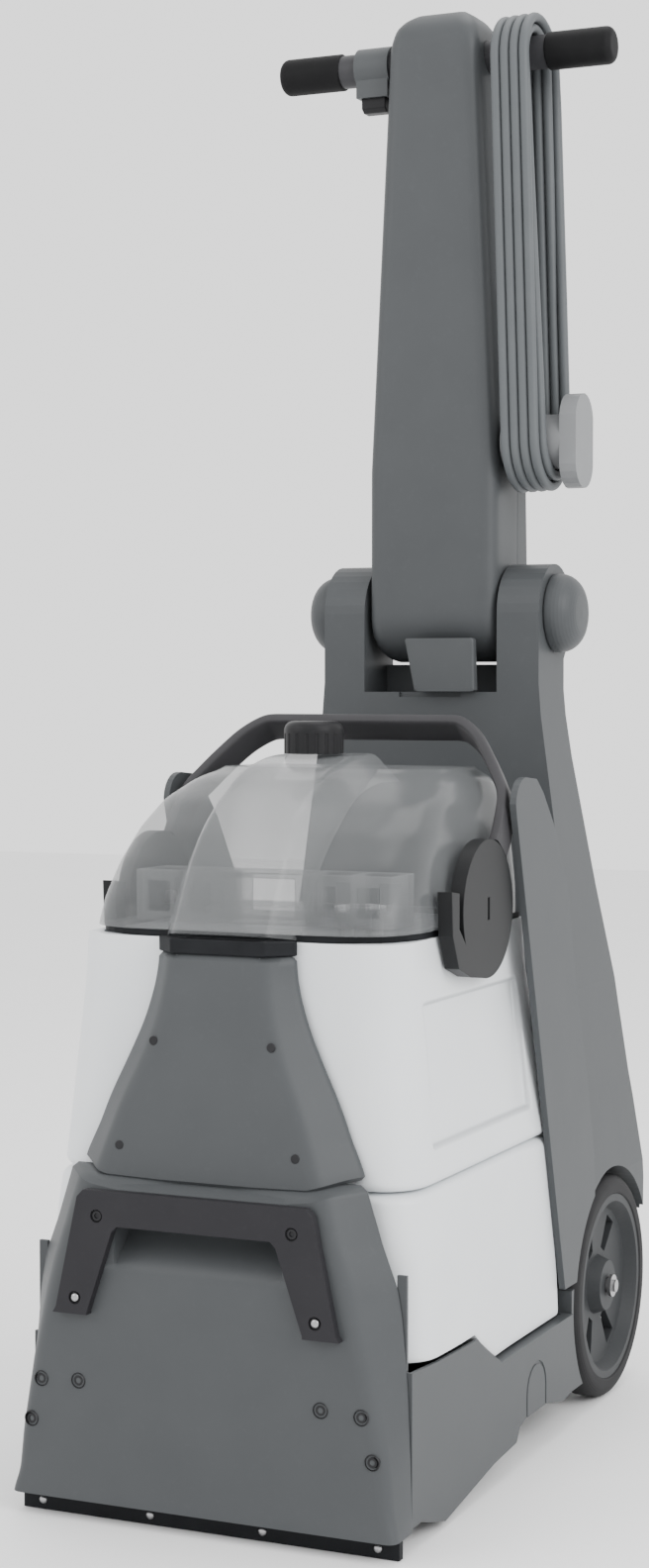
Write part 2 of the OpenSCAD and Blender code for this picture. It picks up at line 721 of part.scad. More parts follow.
// Lid outline at a height: corners round more and the front falls back as it rises
function lid_plan(half, front, rear, c) =
    let (right = concat(arc(half - c, front + c, c, -90, 0), arc(half - 18, rear - 18, 18, 0, 90, 5)))
    concat(right, mirrored(right));
lid_steps = [[0, 1, 8, 2, 56], [0.18, 0.99, 20, 2, 50], [0.4, 0.968, 40, 1, 46], [0.62, 0.94, 68, 0, 42],
    [0.8, 0.9, 100, -2, 38], [0.93, 0.83, 138, -6, 32], [1, 0.73, 168, -14, 24]];
module lid_form(inset) {
    hull() for (s = lid_steps)
        translate([0, 0, lid_z + s[0] * (lid_h - inset) - (inset > 0 && s[0] == 0 ? 1 : 0)]) linear_extrude(EPS)
            polygon(lid_plan(rim_half * s[1] - inset, tank_front + s[2] + inset, rim_rear + s[3] - inset, s[4] - inset));
}

module lid_dome() {
    color([0.8, 0.85, 0.88, 0.4]) difference() {
        union() {
            lid_form(0);
            both_sides() rod_x(8, rim_half - 10, disc_in - 0.4, disc_y, disc_z);
        }
        lid_form(2.5);
        both_sides() rod_x(5, rim_half - 20, disc_in + 5, disc_y, disc_z);
        block([-31, tank_front, lid_z + 20], [31, -150, lid_z + 60]);
    }
}

// Raised clear duct over the lid's crown, with flared sides: [y, z] of its outer edge from the seal to the top
duct_outer = [[-241, 4], [-226, 30], [-210, 56], [-184, 83], [-139, 110], [-95, 122], [-50, 124]];
duct_foot = [[-221, 4], [-205, 30], [-186, 54], [-160, 76], [-125, 98], [-85, 107], [-46, 107]];
module lid_duct() {
    module shell_of(t, n) {
        stacked([for (i = [0:n]) let (o = duct_outer[i], f = duct_foot[i], up = i == 0 && t > 0 ? -4 : 0)
            [[-52 + t, f[0] + 9, f[1] + up - 9], [-35 + t, o[0] + t, o[1] - t * 0.6 + up],
             [35 - t, o[0] + t, o[1] - t * 0.6 + up], [52 - t, f[0] + 9, f[1] + up - 9]]]);
    }
    color([0.8, 0.85, 0.88, 0.4]) difference() {
        translate([0, 0, lid_z - 4]) shell_of(0, 6);
        translate([0, 0, lid_z - 4]) shell_of(3, 4);
        lid_form(-0.3);
        translate([0, 0, lid_z - 100]) cube([400, 800, 200], center = true);
    }
}

// Clear frames that hang inside the lid and split water from air
module lid_baffle() {
    color([0.8, 0.85, 0.88, 0.4]) difference() {
        block([-100, -172, lid_z + 1], [100, -130, lid_z + 38]);
        for (x = [-97, -64, -31, 34, 67]) block([x, -169, lid_z - 1], [x + (x == -31 ? 62 : 30), -133, lid_z + 50]);
        for (x = [-91, -58, 40, 73]) block([x, -185, lid_z + 8], [x + 18, -120, lid_z + 30]);
        block([-26, -185, lid_z + 8], [26, -120, lid_z + 34]);
    }
}

cage_y = 4;
float_r = 13;
module float_cage() {
    color("white") {
        for (a = [0:90:270]) translate([17 * cos(a), cage_y + 17 * sin(a), tank_rim_h - 70]) cylinder(r = 2, h = 74, $fn = 16);
        translate([0, cage_y, tank_rim_h - 73]) cylinder(r = 20, h = 4);
        difference() {
            translate([0, cage_y, tank_rim_h + 2]) cylinder(r = 20, h = 4);
            translate([0, cage_y, tank_rim_h]) cylinder(r = 8, h = 10);
        }
        block([-3, -30, tank_rim_h + 3], [3, cage_y - 18, tank_rim_h + 6]);
        block([-3, cage_y + 18, tank_rim_h + 3], [3, rim_rear - 9.3, tank_rim_h + 6]);
    }
}

module float_ball() {
    color("orange") translate([0, cage_y, tank_rim_h - 69 + float_r + 0.3]) sphere(float_r);
}

// Ribbed round cap that turns on the crown of the duct
module tank_cap() {
    base = lid_z + duct_outer[6][1] - 3.7;
    color("black") translate([0, cap_y, base]) difference() {
        rotate_extrude() polygon(concat([[0, 0], [cap_r, 0]], arc(cap_r - 7, 17, 7, 0, 90, 6), [[0, 24]]));
        for (a = [0:20:340]) rotate([0, 0, a]) translate([cap_r + 1.2, 0, -1]) cylinder(r = 2, h = 16, $fn = 16);
    }
}

// Bail: a flat strap from disc to disc over the lid, leaning back at rest. Points are [x, distance from pivot]
bail_lean = 37;
bail_t = 9;
strap_x = disc_in + 10.5;
bail_path = [[strap_x, 40], [strap_x, 70], [strap_x - 3, 95], [strap_x - 12.5, 113.5], [strap_x - 24, 132.5],
    [strap_x - 36.5, 149.5], [strap_x - 51.5, 161.5], [strap_x - 63.5, 164.5]];
bail_inner = [[strap_x - bail_t, 40], [strap_x - bail_t, 68], [strap_x - 11.5, 91], [strap_x - 20, 108],
    [strap_x - 31, 126], [strap_x - 43, 142.5], [strap_x - 55.5, 152.5], [strap_x - 65.5, 155.5]];
module bail() {
    outline = concat(bail_path, mirrored(bail_path), [for (q = bail_inner) [-q[0], q[1]]],
        [for (i = [len(bail_inner) - 1:-1:0]) bail_inner[i]]);
    color([0.28, 0.27, 0.29]) difference() {
        translate([0, disc_y, disc_z]) rotate([-bail_lean, 0, 0]) translate([0, strap_w / 2, 0])
            rotate([90, 0, 0]) linear_extrude(strap_w) polygon(outline);
        rod_x(disc_r + 0.05, -half_w, half_w, disc_y, disc_z);
    }
}

// Disc with a blind bore for its pivot stud, a slot through its face and an open hook in front
module latch_disc() {
    color([0.33, 0.34, 0.35]) difference() {
        union() {
            rod_x(disc_r, disc_in, disc_in + disc_t, disc_y, disc_z);
            side_prism([[disc_y - 72, disc_z + 17], [disc_y - 57, disc_z + 15], [disc_y - 57, disc_z - 10],
                [disc_y - 40, disc_z - 26], [disc_y - 8, disc_z - 49], [disc_y - 34, disc_z - 46], [disc_y - 58, disc_z - 38],
                [disc_y - 70, disc_z - 14]], disc_in, disc_in + disc_t);
        }
        rod_x(5 + run_gap, disc_in - 1, disc_in + disc_t - 4, disc_y, disc_z);
        block([disc_in + disc_t - 1.5, disc_y - 2, disc_z - 8], [disc_in + disc_t + 1, disc_y + 2, disc_z + 8]);
    }
}
module latch_disc_right() { latch_disc(); }
module latch_disc_left() { mirror([1, 0, 0]) latch_disc(); }

module bail_pivots() {
    color("silver") both_sides() {
        rod_x(5, rim_half - 8, disc_in + disc_t - 4.5, disc_y, disc_z);
    }
}

// ---- mast ----

mast_waist = pivot_h + 115;
function mast_half_at(z) = mast_half + (mast_top_half - mast_half) * max(0, z - mast_waist) / (mast_top - mast_waist);
module mast_form(inset) {
    z0 = pivot_h - ear_r;
    intersection() {
        front_prism(concat([[0, z0 + inset], [mast_half - 14, z0 + inset], [mast_half - 4 - inset, z0 + 6 + inset], [mast_half - inset, z0 + 18],
            [mast_half - inset, mast_waist]], [[mast_half_at(mast_top - 30) - inset, mast_top - 30], [mast_top_half - 5 - inset, mast_top - 10], [mast_top_half - 14 - inset / 2, mast_top - 2 - inset],
            [0, mast_top - inset]]), 0, 300);
        side_prism(concat(arc(pivot_y, pivot_h, ear_r - inset, 180, 360, 14),
            [[205 - inset, mast_top - 60]], arc(175, mast_top - 30, 30 - inset, 0, 180, 12)), -100, 100);
    }
}

// Front cover of the mast, with the bearing tube of the pivot and the saddle of the cross-bar
module mast_front() {
    color("slategray") difference() {
        union() {
            difference() {
                mast_form(0);
                mast_form(wall);
            }
            intersection() {
                mast_form(0);
                union() {
                    rod_x(pivot_r + 5, -mast_half, mast_half, pivot_y, pivot_h);
                    rod_x(bar_r + 4, -mast_half, mast_half, bar_y, bar_z);
                }
            }
        }
        block([-100, mast_split, 500], [100, 300, 1400]);
        rod_x(pivot_r + run_gap, -100, 100, pivot_y, pivot_h);
        rod_x(bar_r + 0.05, -100, 100, bar_y, bar_z);
        rod_x(6.05, 20, 100, hook_y, hook_z);
    }
}

switch_z = pivot_h + 323;
module mast_rear() {
    color("slategray") difference() {
        mast_form(0);
        mast_form(wall);
        block([-100, 0, 500], [100, mast_split + 0.05, 1400]);
        rod_x(10.5, -8.5, 8.5, 205, switch_z);
        rod_x(pivot_r + 5.2, -100, 100, pivot_y, pivot_h);
    }
}

module power_switch() {
    color("black") difference() {
        rod_x(10, -8, 8, 205, switch_z);
        translate([0, 205 + 9, switch_z]) rotate([16, 0, 0]) block([-9, 0, -20], [9, 20, 20]);
    }
}

module handle_tube() {
    color("dimgray") difference() {
        rod_x(bar_r, -bar_half + 4, bar_half - 4, bar_y, bar_z);
        rod_x(bar_r - 2, -bar_half, bar_half, bar_y, bar_z);
    }
}

module grip() {
    r = bar_r + grip_t;
    color("black") translate([bar_half - grip_len, bar_y, bar_z]) rotate([0, 90, 0]) difference() {
        rotate_extrude() polygon(concat([[0, 0], [r - 1, 0], [r, 1]], arc(r - 6, grip_len - 6, 6, 0, 90, 6), [[0, grip_len]]));
        translate([0, 0, -1]) cylinder(r = bar_r + 0.05, h = grip_len - 3.9 + 1);
    }
}
module grip_right() { grip(); }
module grip_left() { mirror([1, 0, 0]) grip(); }

// Collar on the cross-bar with a guide box that the trigger slides in
trigger_x = -60;
module trigger_housing() {
    color("gray") difference() {
        union() {
            rod_x(bar_r + 3.5, trigger_x - 15, trigger_x + 15, bar_y, bar_z);
            block([trigger_x - 14, bar_y - 13, bar_z - bar_r - 12], [trigger_x + 14, bar_y + 13, bar_z - 4]);
        }
        rod_x(bar_r + 0.05, trigger_x - 20, trigger_x + 20, bar_y, bar_z);
        block([trigger_x - 11, bar_y - 10, bar_z - bar_r - 13], [trigger_x + 11, bar_y + 10, bar_z - bar_r - 3]);
    }
}

module spray_trigger() {
    top = bar_z - bar_r - 3.5 - trigger_travel;
    color("black") side_prism(concat([[bar_y + 9.6, top], [bar_y - 9.6, top]],
        [[bar_y - 9.6, top - 12], [bar_y - 5, top - 15], [bar_y + 5, top - 15], [bar_y + 9.6, top - 12]]),
        trigger_x - 10.6, trigger_x + 10.6);
}

module hook_pin() {
    color("silver") rod_x(6, 22, 100, hook_y, hook_z);
}

// Lower cord hook: a round peg with an upright end plate, which turns to let the hank off
module cord_hook() {
    plate = concat(arc(hook_y, hook_z + 16, 22, 10, 170, 10), arc(hook_y, hook_z - 16, 22, 190, 350, 10));
    color("gray") difference() {
        union() {
            rod_x(hook_r, hook_in, 108, hook_y, hook_z);
            side_prism(plate, 107, 121);
        }
        rod_x(6 + run_gap, hook_in - 1, 101, hook_y, hook_z);
    }
}

// ---- cord ----

cord_d = 8;
hank_in = 24;
hank_out = 40;
hank_w = 42;
hank_x = 80.5;
hank_tilt = 2.4;
hank_run = 304;
// Free stretch from the strain relief into the hank, as [x, y, z]
cord_route = [[-2, 222, 870], [-2, 222, 856], [-1, 222, 840], [2, 222.5, 825], [9, 223.5, 810], [19, 225, 801],
    [31, 226, 798], [42, 224, 804], [52, 221.5, 816], [57, 214, 832], [58.5, 209, 850], [59.5, 206.5, 868], [60, 205, 886]];
// Tail from the hank up to the plug
tail_route = [[69, 214, 792], [69, 216, 806], [69, 220, 820], [69, 225, 835], [69, 229, 850], [69, 230.5, 866]];

function unit(v) = v / norm(v);
function heading(p, i) = unit(p[min(i + 1, len(p) - 1)] - p[max(i - 1, 0)]);
// Ring of eight points round point i of a route
function ring(p, i, r) = let (t = heading(p, i), a = unit(cross(t, [1, 0.3, 0.1])), b = cross(t, a))
    [for (k = [0:7]) p[i] + r * (cos(45 * k) * a + sin(45 * k) * b)];
module tube(p, r) {
    n = len(p);
    points = [for (i = [0:n - 1]) for (q = ring(p, i, r)) q];
    sides = [for (i = [0:n - 2], k = [0:7])
        [8 * i + k, 8 * i + (k + 1) % 8, 8 * (i + 1) + (k + 1) % 8, 8 * (i + 1) + k]];
    ends = [[for (k = [7:-1:0]) k], [for (k = [0:7]) 8 * (n - 1) + k]];
    polyhedron(points, concat(sides, ends), convexity = 6);
}

module strain_relief() {
    color("black") {
        block([-11, 205.2, 905], [7, 230, 921]);
        translate([-2, 222, 870]) cylinder(r1 = 4.9, r2 = 7, h = 36);
    }
}

module cord_tube() {
    color("lightslategray") tube(cord_route, cord_d / 2);
}

module cord_tail() {
    color("lightslategray") tube(tail_route, cord_d / 2);
}

// Three-pin plug tucked behind the hank, its pins upward
module plug() {
    z = 866;
    color("black") {
        translate([69, 230.5, z]) cylinder(r1 = 5.5, r2 = 9, h = 16);
        block([56, 222, z + 14], [82, 242, z + 42]);
    }
    color("gold") {
        for (x = [62, 75]) block([x, 227, z + 42 - EPS], [x + 1.6, 233, z + 58]);
        translate([69, 237, z + 42 - EPS]) cylinder(r = 2.4, h = 19);
    }
}

// Outer shape of the hank: a flat ring with round ends, hung over the cross-bar and round the hook
module cord_hank() {
    color("lightslategray") translate([hank_x, hook_y, 775]) rotate([0, -hank_tilt, 0])
        translate([-hank_w / 2, 0, 0]) rotate([90, 0, 90]) linear_extrude(hank_w) difference() {
            union() {
                circle(hank_out);
                translate([0, hank_run]) circle(hank_out);
                translate([-hank_out, 0]) square([2 * hank_out, hank_run]);
            }
            circle(hank_in);
            translate([0, hank_run]) circle(hank_in);
            translate([-hank_in, 0]) square([2 * hank_in, hank_run]);
        }
}

base_tray();
front_shell();
front_panel();
panel_band();
carry_bracket();
bright_screws();
cover_screws();
nozzle_strip();
suction_duct();
brush_housing();
brush_roll();
brush_pulley();
drive_belt();
motor_pulley();
brush_motor();
pump();
spray_jets();
tank_cradle();
rear_frame();
rear_cover();
vacuum_motor();
pivot_cap_left();
pivot_cap_right();
pivot_pin();
mast_latch();
axle();
axle_bolts();
tyre_left();
tyre_right();
rim_left();
rim_right();
lower_tank();
tank_valve();
upper_tank();
tank_seal();
lid_dome();
lid_duct();
lid_baffle();
float_cage();
float_ball();
tank_cap();
bail();
latch_disc_left();
latch_disc_right();
bail_pivots();
mast_front();
mast_rear();
handle_tube();
grip_left();
grip_right();
trigger_housing();
spray_trigger();
power_switch();
hook_pin();
cord_hook();
strain_relief();
cord_tube();
cord_hank();
cord_tail();
plug();
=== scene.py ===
import math
import bpy
import numpy as np
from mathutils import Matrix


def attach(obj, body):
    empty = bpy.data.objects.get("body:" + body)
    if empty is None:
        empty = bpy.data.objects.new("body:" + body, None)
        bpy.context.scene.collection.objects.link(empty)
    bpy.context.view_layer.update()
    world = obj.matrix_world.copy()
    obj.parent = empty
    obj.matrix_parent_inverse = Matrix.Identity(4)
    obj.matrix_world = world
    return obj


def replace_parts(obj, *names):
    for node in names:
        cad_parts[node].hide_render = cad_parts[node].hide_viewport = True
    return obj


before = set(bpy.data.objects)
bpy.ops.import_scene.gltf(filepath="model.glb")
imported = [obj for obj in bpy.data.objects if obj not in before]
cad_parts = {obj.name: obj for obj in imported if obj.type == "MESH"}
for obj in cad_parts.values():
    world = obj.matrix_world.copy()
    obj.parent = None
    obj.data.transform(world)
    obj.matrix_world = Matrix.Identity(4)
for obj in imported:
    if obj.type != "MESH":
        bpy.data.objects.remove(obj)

scene = bpy.context.scene
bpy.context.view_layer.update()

# ---- Camera ----
# A long lens at chest height, to the right of the machine, level with its middle.
lens = bpy.data.cameras.new("camera")
lens.sensor_width = 36
lens.lens = 60.554
camera = bpy.data.objects.new("camera", lens)
camera.location = (0.80816, -1.84965, 0.57980)
camera.rotation_euler = (math.radians(87.819), 0, math.radians(24.339))
scene.collection.objects.link(camera)
scene.camera = camera


# ---- Power cord ----
# One 8 mm grey vinyl lead. It leaves the strain relief on the mast's back, hangs in a short bight and is
# wound in two layers over the cross-bar and the lower hook. The plug is tucked behind the hank.
class Wire:
    """A socket of a material. Sums and products of wires and numbers add their Math nodes."""

    def __init__(self, tree, socket):
        self.tree = tree
        self.socket = socket

    def node(self, kind, settings, inputs, out=0):
        """Any other node: its settings first, then the values or links of its sockets."""
        made = self.tree.nodes.new(kind)
        for key, value in settings.items():
            if key == "stops":
                ramp = made.color_ramp
                while len(ramp.elements) < len(value):
                    ramp.elements.new(0.5)
                for stop, (at, grey) in zip(ramp.elements, value):
                    stop.position = at
                    stop.color = (grey, grey, grey, 1)
            else:
                setattr(made, key, value)
        for key, value in inputs.items():
            if isinstance(value, Wire):
                self.tree.links.new(value.socket, made.inputs[key])
            else:
                made.inputs[key].default_value = value
        return Wire(self.tree, made.outputs[out])

    def maths(self, operation, a, b):
        return self.node("ShaderNodeMath", {"operation": operation}, {0: a, 1: b})

    def __add__(self, other):
        return self.maths("ADD", self, other)

    def __radd__(self, other):
        return self.maths("ADD", other, self)

    def __sub__(self, other):
        return self.maths("SUBTRACT", self, other)

    def __rsub__(self, other):
        return self.maths("SUBTRACT", other, self)

    def __mul__(self, other):
        return self.maths("MULTIPLY", self, other)

    def __rmul__(self, other):
        return self.maths("MULTIPLY", other, self)

    def noise(self, scale, detail=3, roughness=0.5):
        return self.node("ShaderNodeTexNoise", {},
            {"Vector": self, "Scale": scale, "Detail": detail, "Roughness": roughness})

    def blend(self, a, b):
        """Colour a where this wire is 0 and colour b where it is 1."""
        colours = {6: a if isinstance(a, Wire) else (*a, 1), 7: b if isinstance(b, Wire) else (*b, 1)}
        return self.node("ShaderNodeMix", {"data_type": "RGBA"}, {0: self, **colours}, 2)

    def feed(self, shader, name):
        self.tree.links.new(self.socket, shader.inputs[name])


def finish(name, dark, light, gloss, spread=0.06, grain=1400, depth=0.00006, slow=22, metal=0.0, coat=0.0,
           scuff=0.12, shine=0.22):
    """Moulded surface: a slow noise moves the colour from dark to light and the roughness by spread,
    faint scuffs brighten it, and a fine noise raises a grain of the given depth."""
    made = bpy.data.materials.new(name)
    made.use_nodes = True
    tree = made.node_tree
    shader = tree.nodes["Principled BSDF"]
    place = Wire(tree, tree.nodes.new("ShaderNodeTexCoord").outputs["Object"])
    cloud = place.noise(slow, 4)
    marks = place.noise(slow * 7, 6, 0.65)
    marks = marks.node("ShaderNodeValToRGB", {"stops": [(0.56, 0), (0.72, 1)]}, {0: marks})
    base = cloud.blend(dark, light)
    worn = (marks * scuff).blend(base, tuple(min(1, c * 1.35 + 0.01) for c in light))
    worn.feed(shader, "Base Color")
    (gloss - spread / 2 + cloud * spread + marks * 0.04).feed(shader, "Roughness")
    height = place.noise(grain, 2)
    height.node("ShaderNodeBump", {}, {"Strength": 0.6, "Distance": depth, "Height": height}).feed(shader, "Normal")
    shader.inputs["Metallic"].default_value = metal
    shader.inputs["Specular IOR Level"].default_value = shine
    shader.inputs["Coat Weight"].default_value = coat
    return made


def through(points, count):
    """Smooth line through the points: a Catmull-Rom spline sampled count times per span."""
    p = np.asarray(points, float)
    p = np.vstack([2 * p[0] - p[1], p, 2 * p[-1] - p[-2]])
    t = np.linspace(0, 1, count, endpoint=False)[None, :, None]
    a, b, c, d = (p[i:len(p) - 3 + i, None, :] for i in range(4))
    spans = 0.5 * (2 * b + (c - a) * t + (2 * a - 5 * b + 4 * c - d) * t**2 + (3 * b - a - 3 * c + d) * t**3)
    return np.vstack([spans.reshape(-1, 3), p[-2:-1]])


def hank_winding(turns, steps):
    """Race-track turns round the hook and the bar: up the back, over the top, down the front and round
    the bottom. The inner layer is 28 mm from the middle, the outer one 36 mm, and each turn steps 8 mm aside."""
    t = np.linspace(turns[0], turns[1], steps)
    radius = 0.028 + 0.008 * np.clip((t - 4.137) / 0.2, 0, 1)
    across = np.where(t < 4.137, -0.01585 + 0.00805 * (t - 0.137), 0.0164 - 0.00805 * (t - 4.137))
    run, lap = 0.304, 2 * 0.304 + 2 * np.pi * 0.032
    along = (t % 1) * lap
    arch = np.pi * 0.032
    rise = np.clip(along, 0, run)
    over = np.clip((along - run) / arch, 0, 1) * np.pi
    fall = np.clip(along - run - arch, 0, run)
    under = np.clip((along - 2 * run - arch) / arch, 0, 1) * np.pi
    y = radius * np.cos(over + under)
    z = rise - fall + radius * np.sin(over + under)
    lean = math.radians(2.4)
    return np.column_stack([0.0805 + across * np.cos(lean) - z * np.sin(lean), 0.177 + y,
        0.775 + z * np.cos(lean) + across * np.sin(lean)])


half_turn = np.linspace(0, np.pi, 13)
bight = np.column_stack([28 - 30 * np.cos(half_turn), 217 + 5 * np.cos(half_turn), 832 - 30 * np.sin(half_turn)])
lead_in = np.vstack([[[-2, 222, 870], [-2, 222, 851]], bight, [[58.7, 208.6, 850], [59.5, 206.5, 868]]]) / 1000
lead_out = np.array([[65.2, 215.2, 812], [66.2, 220, 830], [67.8, 226, 849], [69, 230.5, 868]]) / 1000
wound = hank_winding((0.137, 8.021), 1100)
line = np.vstack([through(np.vstack([lead_in, wound[:1]]), 4)[:-1], wound,
    through(np.vstack([wound[-1:], lead_out]), 4)[1:]])
cord_line = bpy.data.curves.new("power_cord", "CURVE")
cord_line.dimensions = "3D"
cord_line.bevel_depth = 0.004
cord_line.bevel_resolution = 5
cord_line.use_fill_caps = True
strand = cord_line.splines.new("POLY")
strand.points.add(len(line) - 1)
strand.points.foreach_set("co", np.column_stack([line, np.ones(len(line))]).ravel())
strand.use_smooth = True
power_cord = bpy.data.objects.new("power_cord", cord_line)
scene.collection.objects.link(power_cord)
vinyl = finish("cord_vinyl", (0.075, 0.082, 0.087), (0.095, 0.102, 0.107), 0.48, grain=700, slow=30)
cord_line.materials.append(vinyl)
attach(power_cord, "mast")
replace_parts(power_cord, "cord_tube", "cord_hank", "cord_tail")

black_vinyl = finish("plug_vinyl", (0.020, 0.020, 0.021), (0.032, 0.032, 0.034), 0.50, slow=40, shine=0.12)


def dress(material, round_off, *names, segments=3):
    """Gives a carried-over solid its material, merges its loose triangles and rounds its hard edges."""
    for name in names:
        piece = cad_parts[name]
        piece.data.materials.clear()
        piece.data.materials.append(material)
        weld = piece.modifiers.new("weld", "WELD")
        weld.merge_threshold = 0.00002
        if round_off:
            flat = piece.modifiers.new("flat", "DECIMATE")
            flat.decimate_type = "DISSOLVE"
            flat.angle_limit = math.radians(0.6)
            edge = piece.modifiers.new("edge", "BEVEL")
            edge.limit_method = "ANGLE"
            edge.angle_limit = math.radians(32)
            edge.width = round_off
            edge.segments = segments
            edge.harden_normals = False
            edge.use_clamp_overlap = True
        piece.data.polygons.foreach_set("use_smooth", np.zeros(len(piece.data.polygons), bool))
        smooth = piece.modifiers.new("smooth", "WEIGHTED_NORMAL")
        smooth.keep_sharp = True


dress(black_vinyl, 0.0012, "plug", "strain_relief")


# ---- Lower front shell ----
# Injection-moulded grey cover over the nozzle and the duct. Its face flares to the floor and has a pocket
# for the fingers behind the carry bar. Round its edges the corners are drawn to a radius.
def skin(name, rings, material, body, slot, *nodes, sharp=38):
    """Closed surface through an array of rings, (ring, point, xyz), with a fan of triangles on each end."""
    rings = np.asarray(rings, float)
    k, n, _ = rings.shape
    middles = rings[[0, -1]].mean(axis=1)
    verts = np.vstack([rings.reshape(-1, 3), middles])
    i, j = np.meshgrid(np.arange(k - 1), np.arange(n), indexing="ij")
    nxt = (j + 1) % n
    quads = np.stack([i * n + j, i * n + nxt, (i + 1) * n + nxt, (i + 1) * n + j], -1).reshape(-1, 4)
    a = np.arange(n)
    low = np.stack([(a + 1) % n, a, np.full(n, k * n)], -1)
    high = np.stack([(k - 1) * n + a, (k - 1) * n + (a + 1) % n, np.full(n, k * n + 1)], -1)
    p = verts[quads]
    volume = np.einsum("ij,ij->i", p[:, 0], np.cross(p[:, 1], p[:, 2]) + np.cross(p[:, 2], p[:, 3])).sum()
    for tri in (low, high):
        q = verts[tri]
        volume += np.einsum("ij,ij->i", q[:, 0], np.cross(q[:, 1], q[:, 2])).sum()
    if volume < 0:
        quads, low, high = quads[:, ::-1], low[:, ::-1], high[:, ::-1]
    mesh = bpy.data.meshes.new(name)
    mesh.from_pydata(verts.tolist(), [], quads.tolist() + low.tolist() + high.tolist())
    mesh.update()
    mesh.polygons.foreach_set("use_smooth", np.ones(len(mesh.polygons), bool))
    mesh.set_sharp_from_angle(angle=math.radians(sharp))
    piece = bpy.data.objects.new(name, mesh)
    scene.collection.objects.link(piece)
    mesh.materials.append(material)
    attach(piece, body)
    if nodes:
        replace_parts(piece, *nodes)
    return piece


def eased(z, table, reach=0.006):
    """Columns of a table of [z, ...] at heights z, averaged over a short reach so that bends come out round."""
    table = np.asarray(table, float)
    at = z[:, None] + reach * np.linspace(-1, 1, 9)[None, :]
    return [np.interp(at, table[:, 0], table[:, c]).mean(axis=1) for c in range(1, table.shape[1])]


def rounded(corners, radii, steps=6, fill=4):
    """Outlines with round corners, one for each ring: corners is (ring, corner, xy) and radii (ring, corner).
    Each corner is a parabola between its tangent points, and fill points divide each straight side."""
    here = np.asarray(corners, float)
    last, after = np.roll(here, 1, axis=1), np.roll(here, -1, axis=1)
    back, on = last - here, after - here
    lb, lo = np.linalg.norm(back, axis=2, keepdims=True), np.linalg.norm(on, axis=2, keepdims=True)
    cut = np.minimum(np.asarray(radii, float)[..., None], 0.48 * np.minimum(lb, lo))
    start, stop = here + back / lb * cut, here + on / lo * cut
    t = np.linspace(0, 1, steps)[None, None, :, None]
    bend = (1 - t) ** 2 * start[:, :, None] + 2 * t * (1 - t) * here[:, :, None] + t**2 * stop[:, :, None]
    s = np.linspace(0, 1, fill + 2)[1:-1][None, None, :, None]
    side = stop[:, :, None] * (1 - s) + np.roll(start, -1, axis=1)[:, :, None] * s
    return np.concatenate([bend, side], axis=2).reshape(here.shape[0], -1, 2)


grey = finish("grey_cover", (0.046, 0.0495, 0.0525), (0.056, 0.060, 0.063), 0.46, spread=0.10, depth=0.00005)
shell_table = [[0.0145, 0.147, -0.2745, 0.146], [0.030, 0.1415, -0.273, 0.1455], [0.060, 0.138, -0.273, 0.1448],
    [0.111, 0.1275, -0.273, 0.1430], [0.158, 0.1163, -0.273, 0.1390], [0.178, 0.1105, -0.273, 0.1355],
    [0.192, 0.1065, -0.2730, 0.1300], [0.204, 0.1025, -0.2728, 0.1255], [0.2355, 0.0905, -0.2693, 0.1125]]
levels = np.unique(np.concatenate([np.linspace(0.0145, 0.2355, 76), [0.2298, 0.2310]]))
half, face, rear_half = eased(levels, shell_table, 0.005)
rear = np.full_like(levels, -0.2423)
top_roll = 0.004 - np.sqrt(np.maximum(0, 0.004**2 - np.clip(levels - 0.2315, 0, 0.004) ** 2))
half, face, rear_half = half - top_roll, face + top_roll, rear_half - top_roll
pocket = 0.0636


def shell_rings():
    """Ring at each height: back corners, rounded front corners, and a face pushed back where the pocket is."""
    edges = np.stack([np.stack([-rear_half, rear], 1), np.stack([-half, face], 1), np.stack([half, face], 1),
        np.stack([rear_half, rear], 1)], 1)
    radii = np.tile([0.002, 0.009, 0.009, 0.002], (len(levels), 1))
    outline = rounded(edges, radii, 7, 0)
    left, right = outline[:, :14], outline[:, 14:]
    share = np.concatenate([[-pocket - 0.0002, -pocket + 0.0008], np.linspace(-0.05, 0.05, 13),
        [pocket - 0.0008, pocket + 0.0002]])
    scoop = np.clip((levels - 0.176) / 0.034, 0, 1)
    scoop = np.where(levels < 0.2304, 0.0262 * scoop * scoop * (3 - 2 * scoop), 0)
    depth = scoop[:, None] * (np.abs(share) < pocket)[None, :]
    mid = np.stack([np.tile(share, (len(levels), 1)), face[:, None] + depth], 2)
    flat = np.concatenate([left, mid, right], axis=1)
    height = np.repeat(levels[:, None], flat.shape[1], axis=1)
    height = height + shoulder(flat[..., 0]) * np.clip((height - 0.205) / 0.030, 0, 1)
    return np.concatenate([flat, height[..., None]], axis=2)


def shoulder(x):
    """How far the seam over the shell rises from its middle to its flanks."""
    s = np.clip((np.abs(x) - 0.066) / 0.044, 0, 1)
    return 0.009 * s * s * (3 - 2 * s)


skin("front_cover", shell_rings(), grey, "root", "grey_cover", "front_shell")


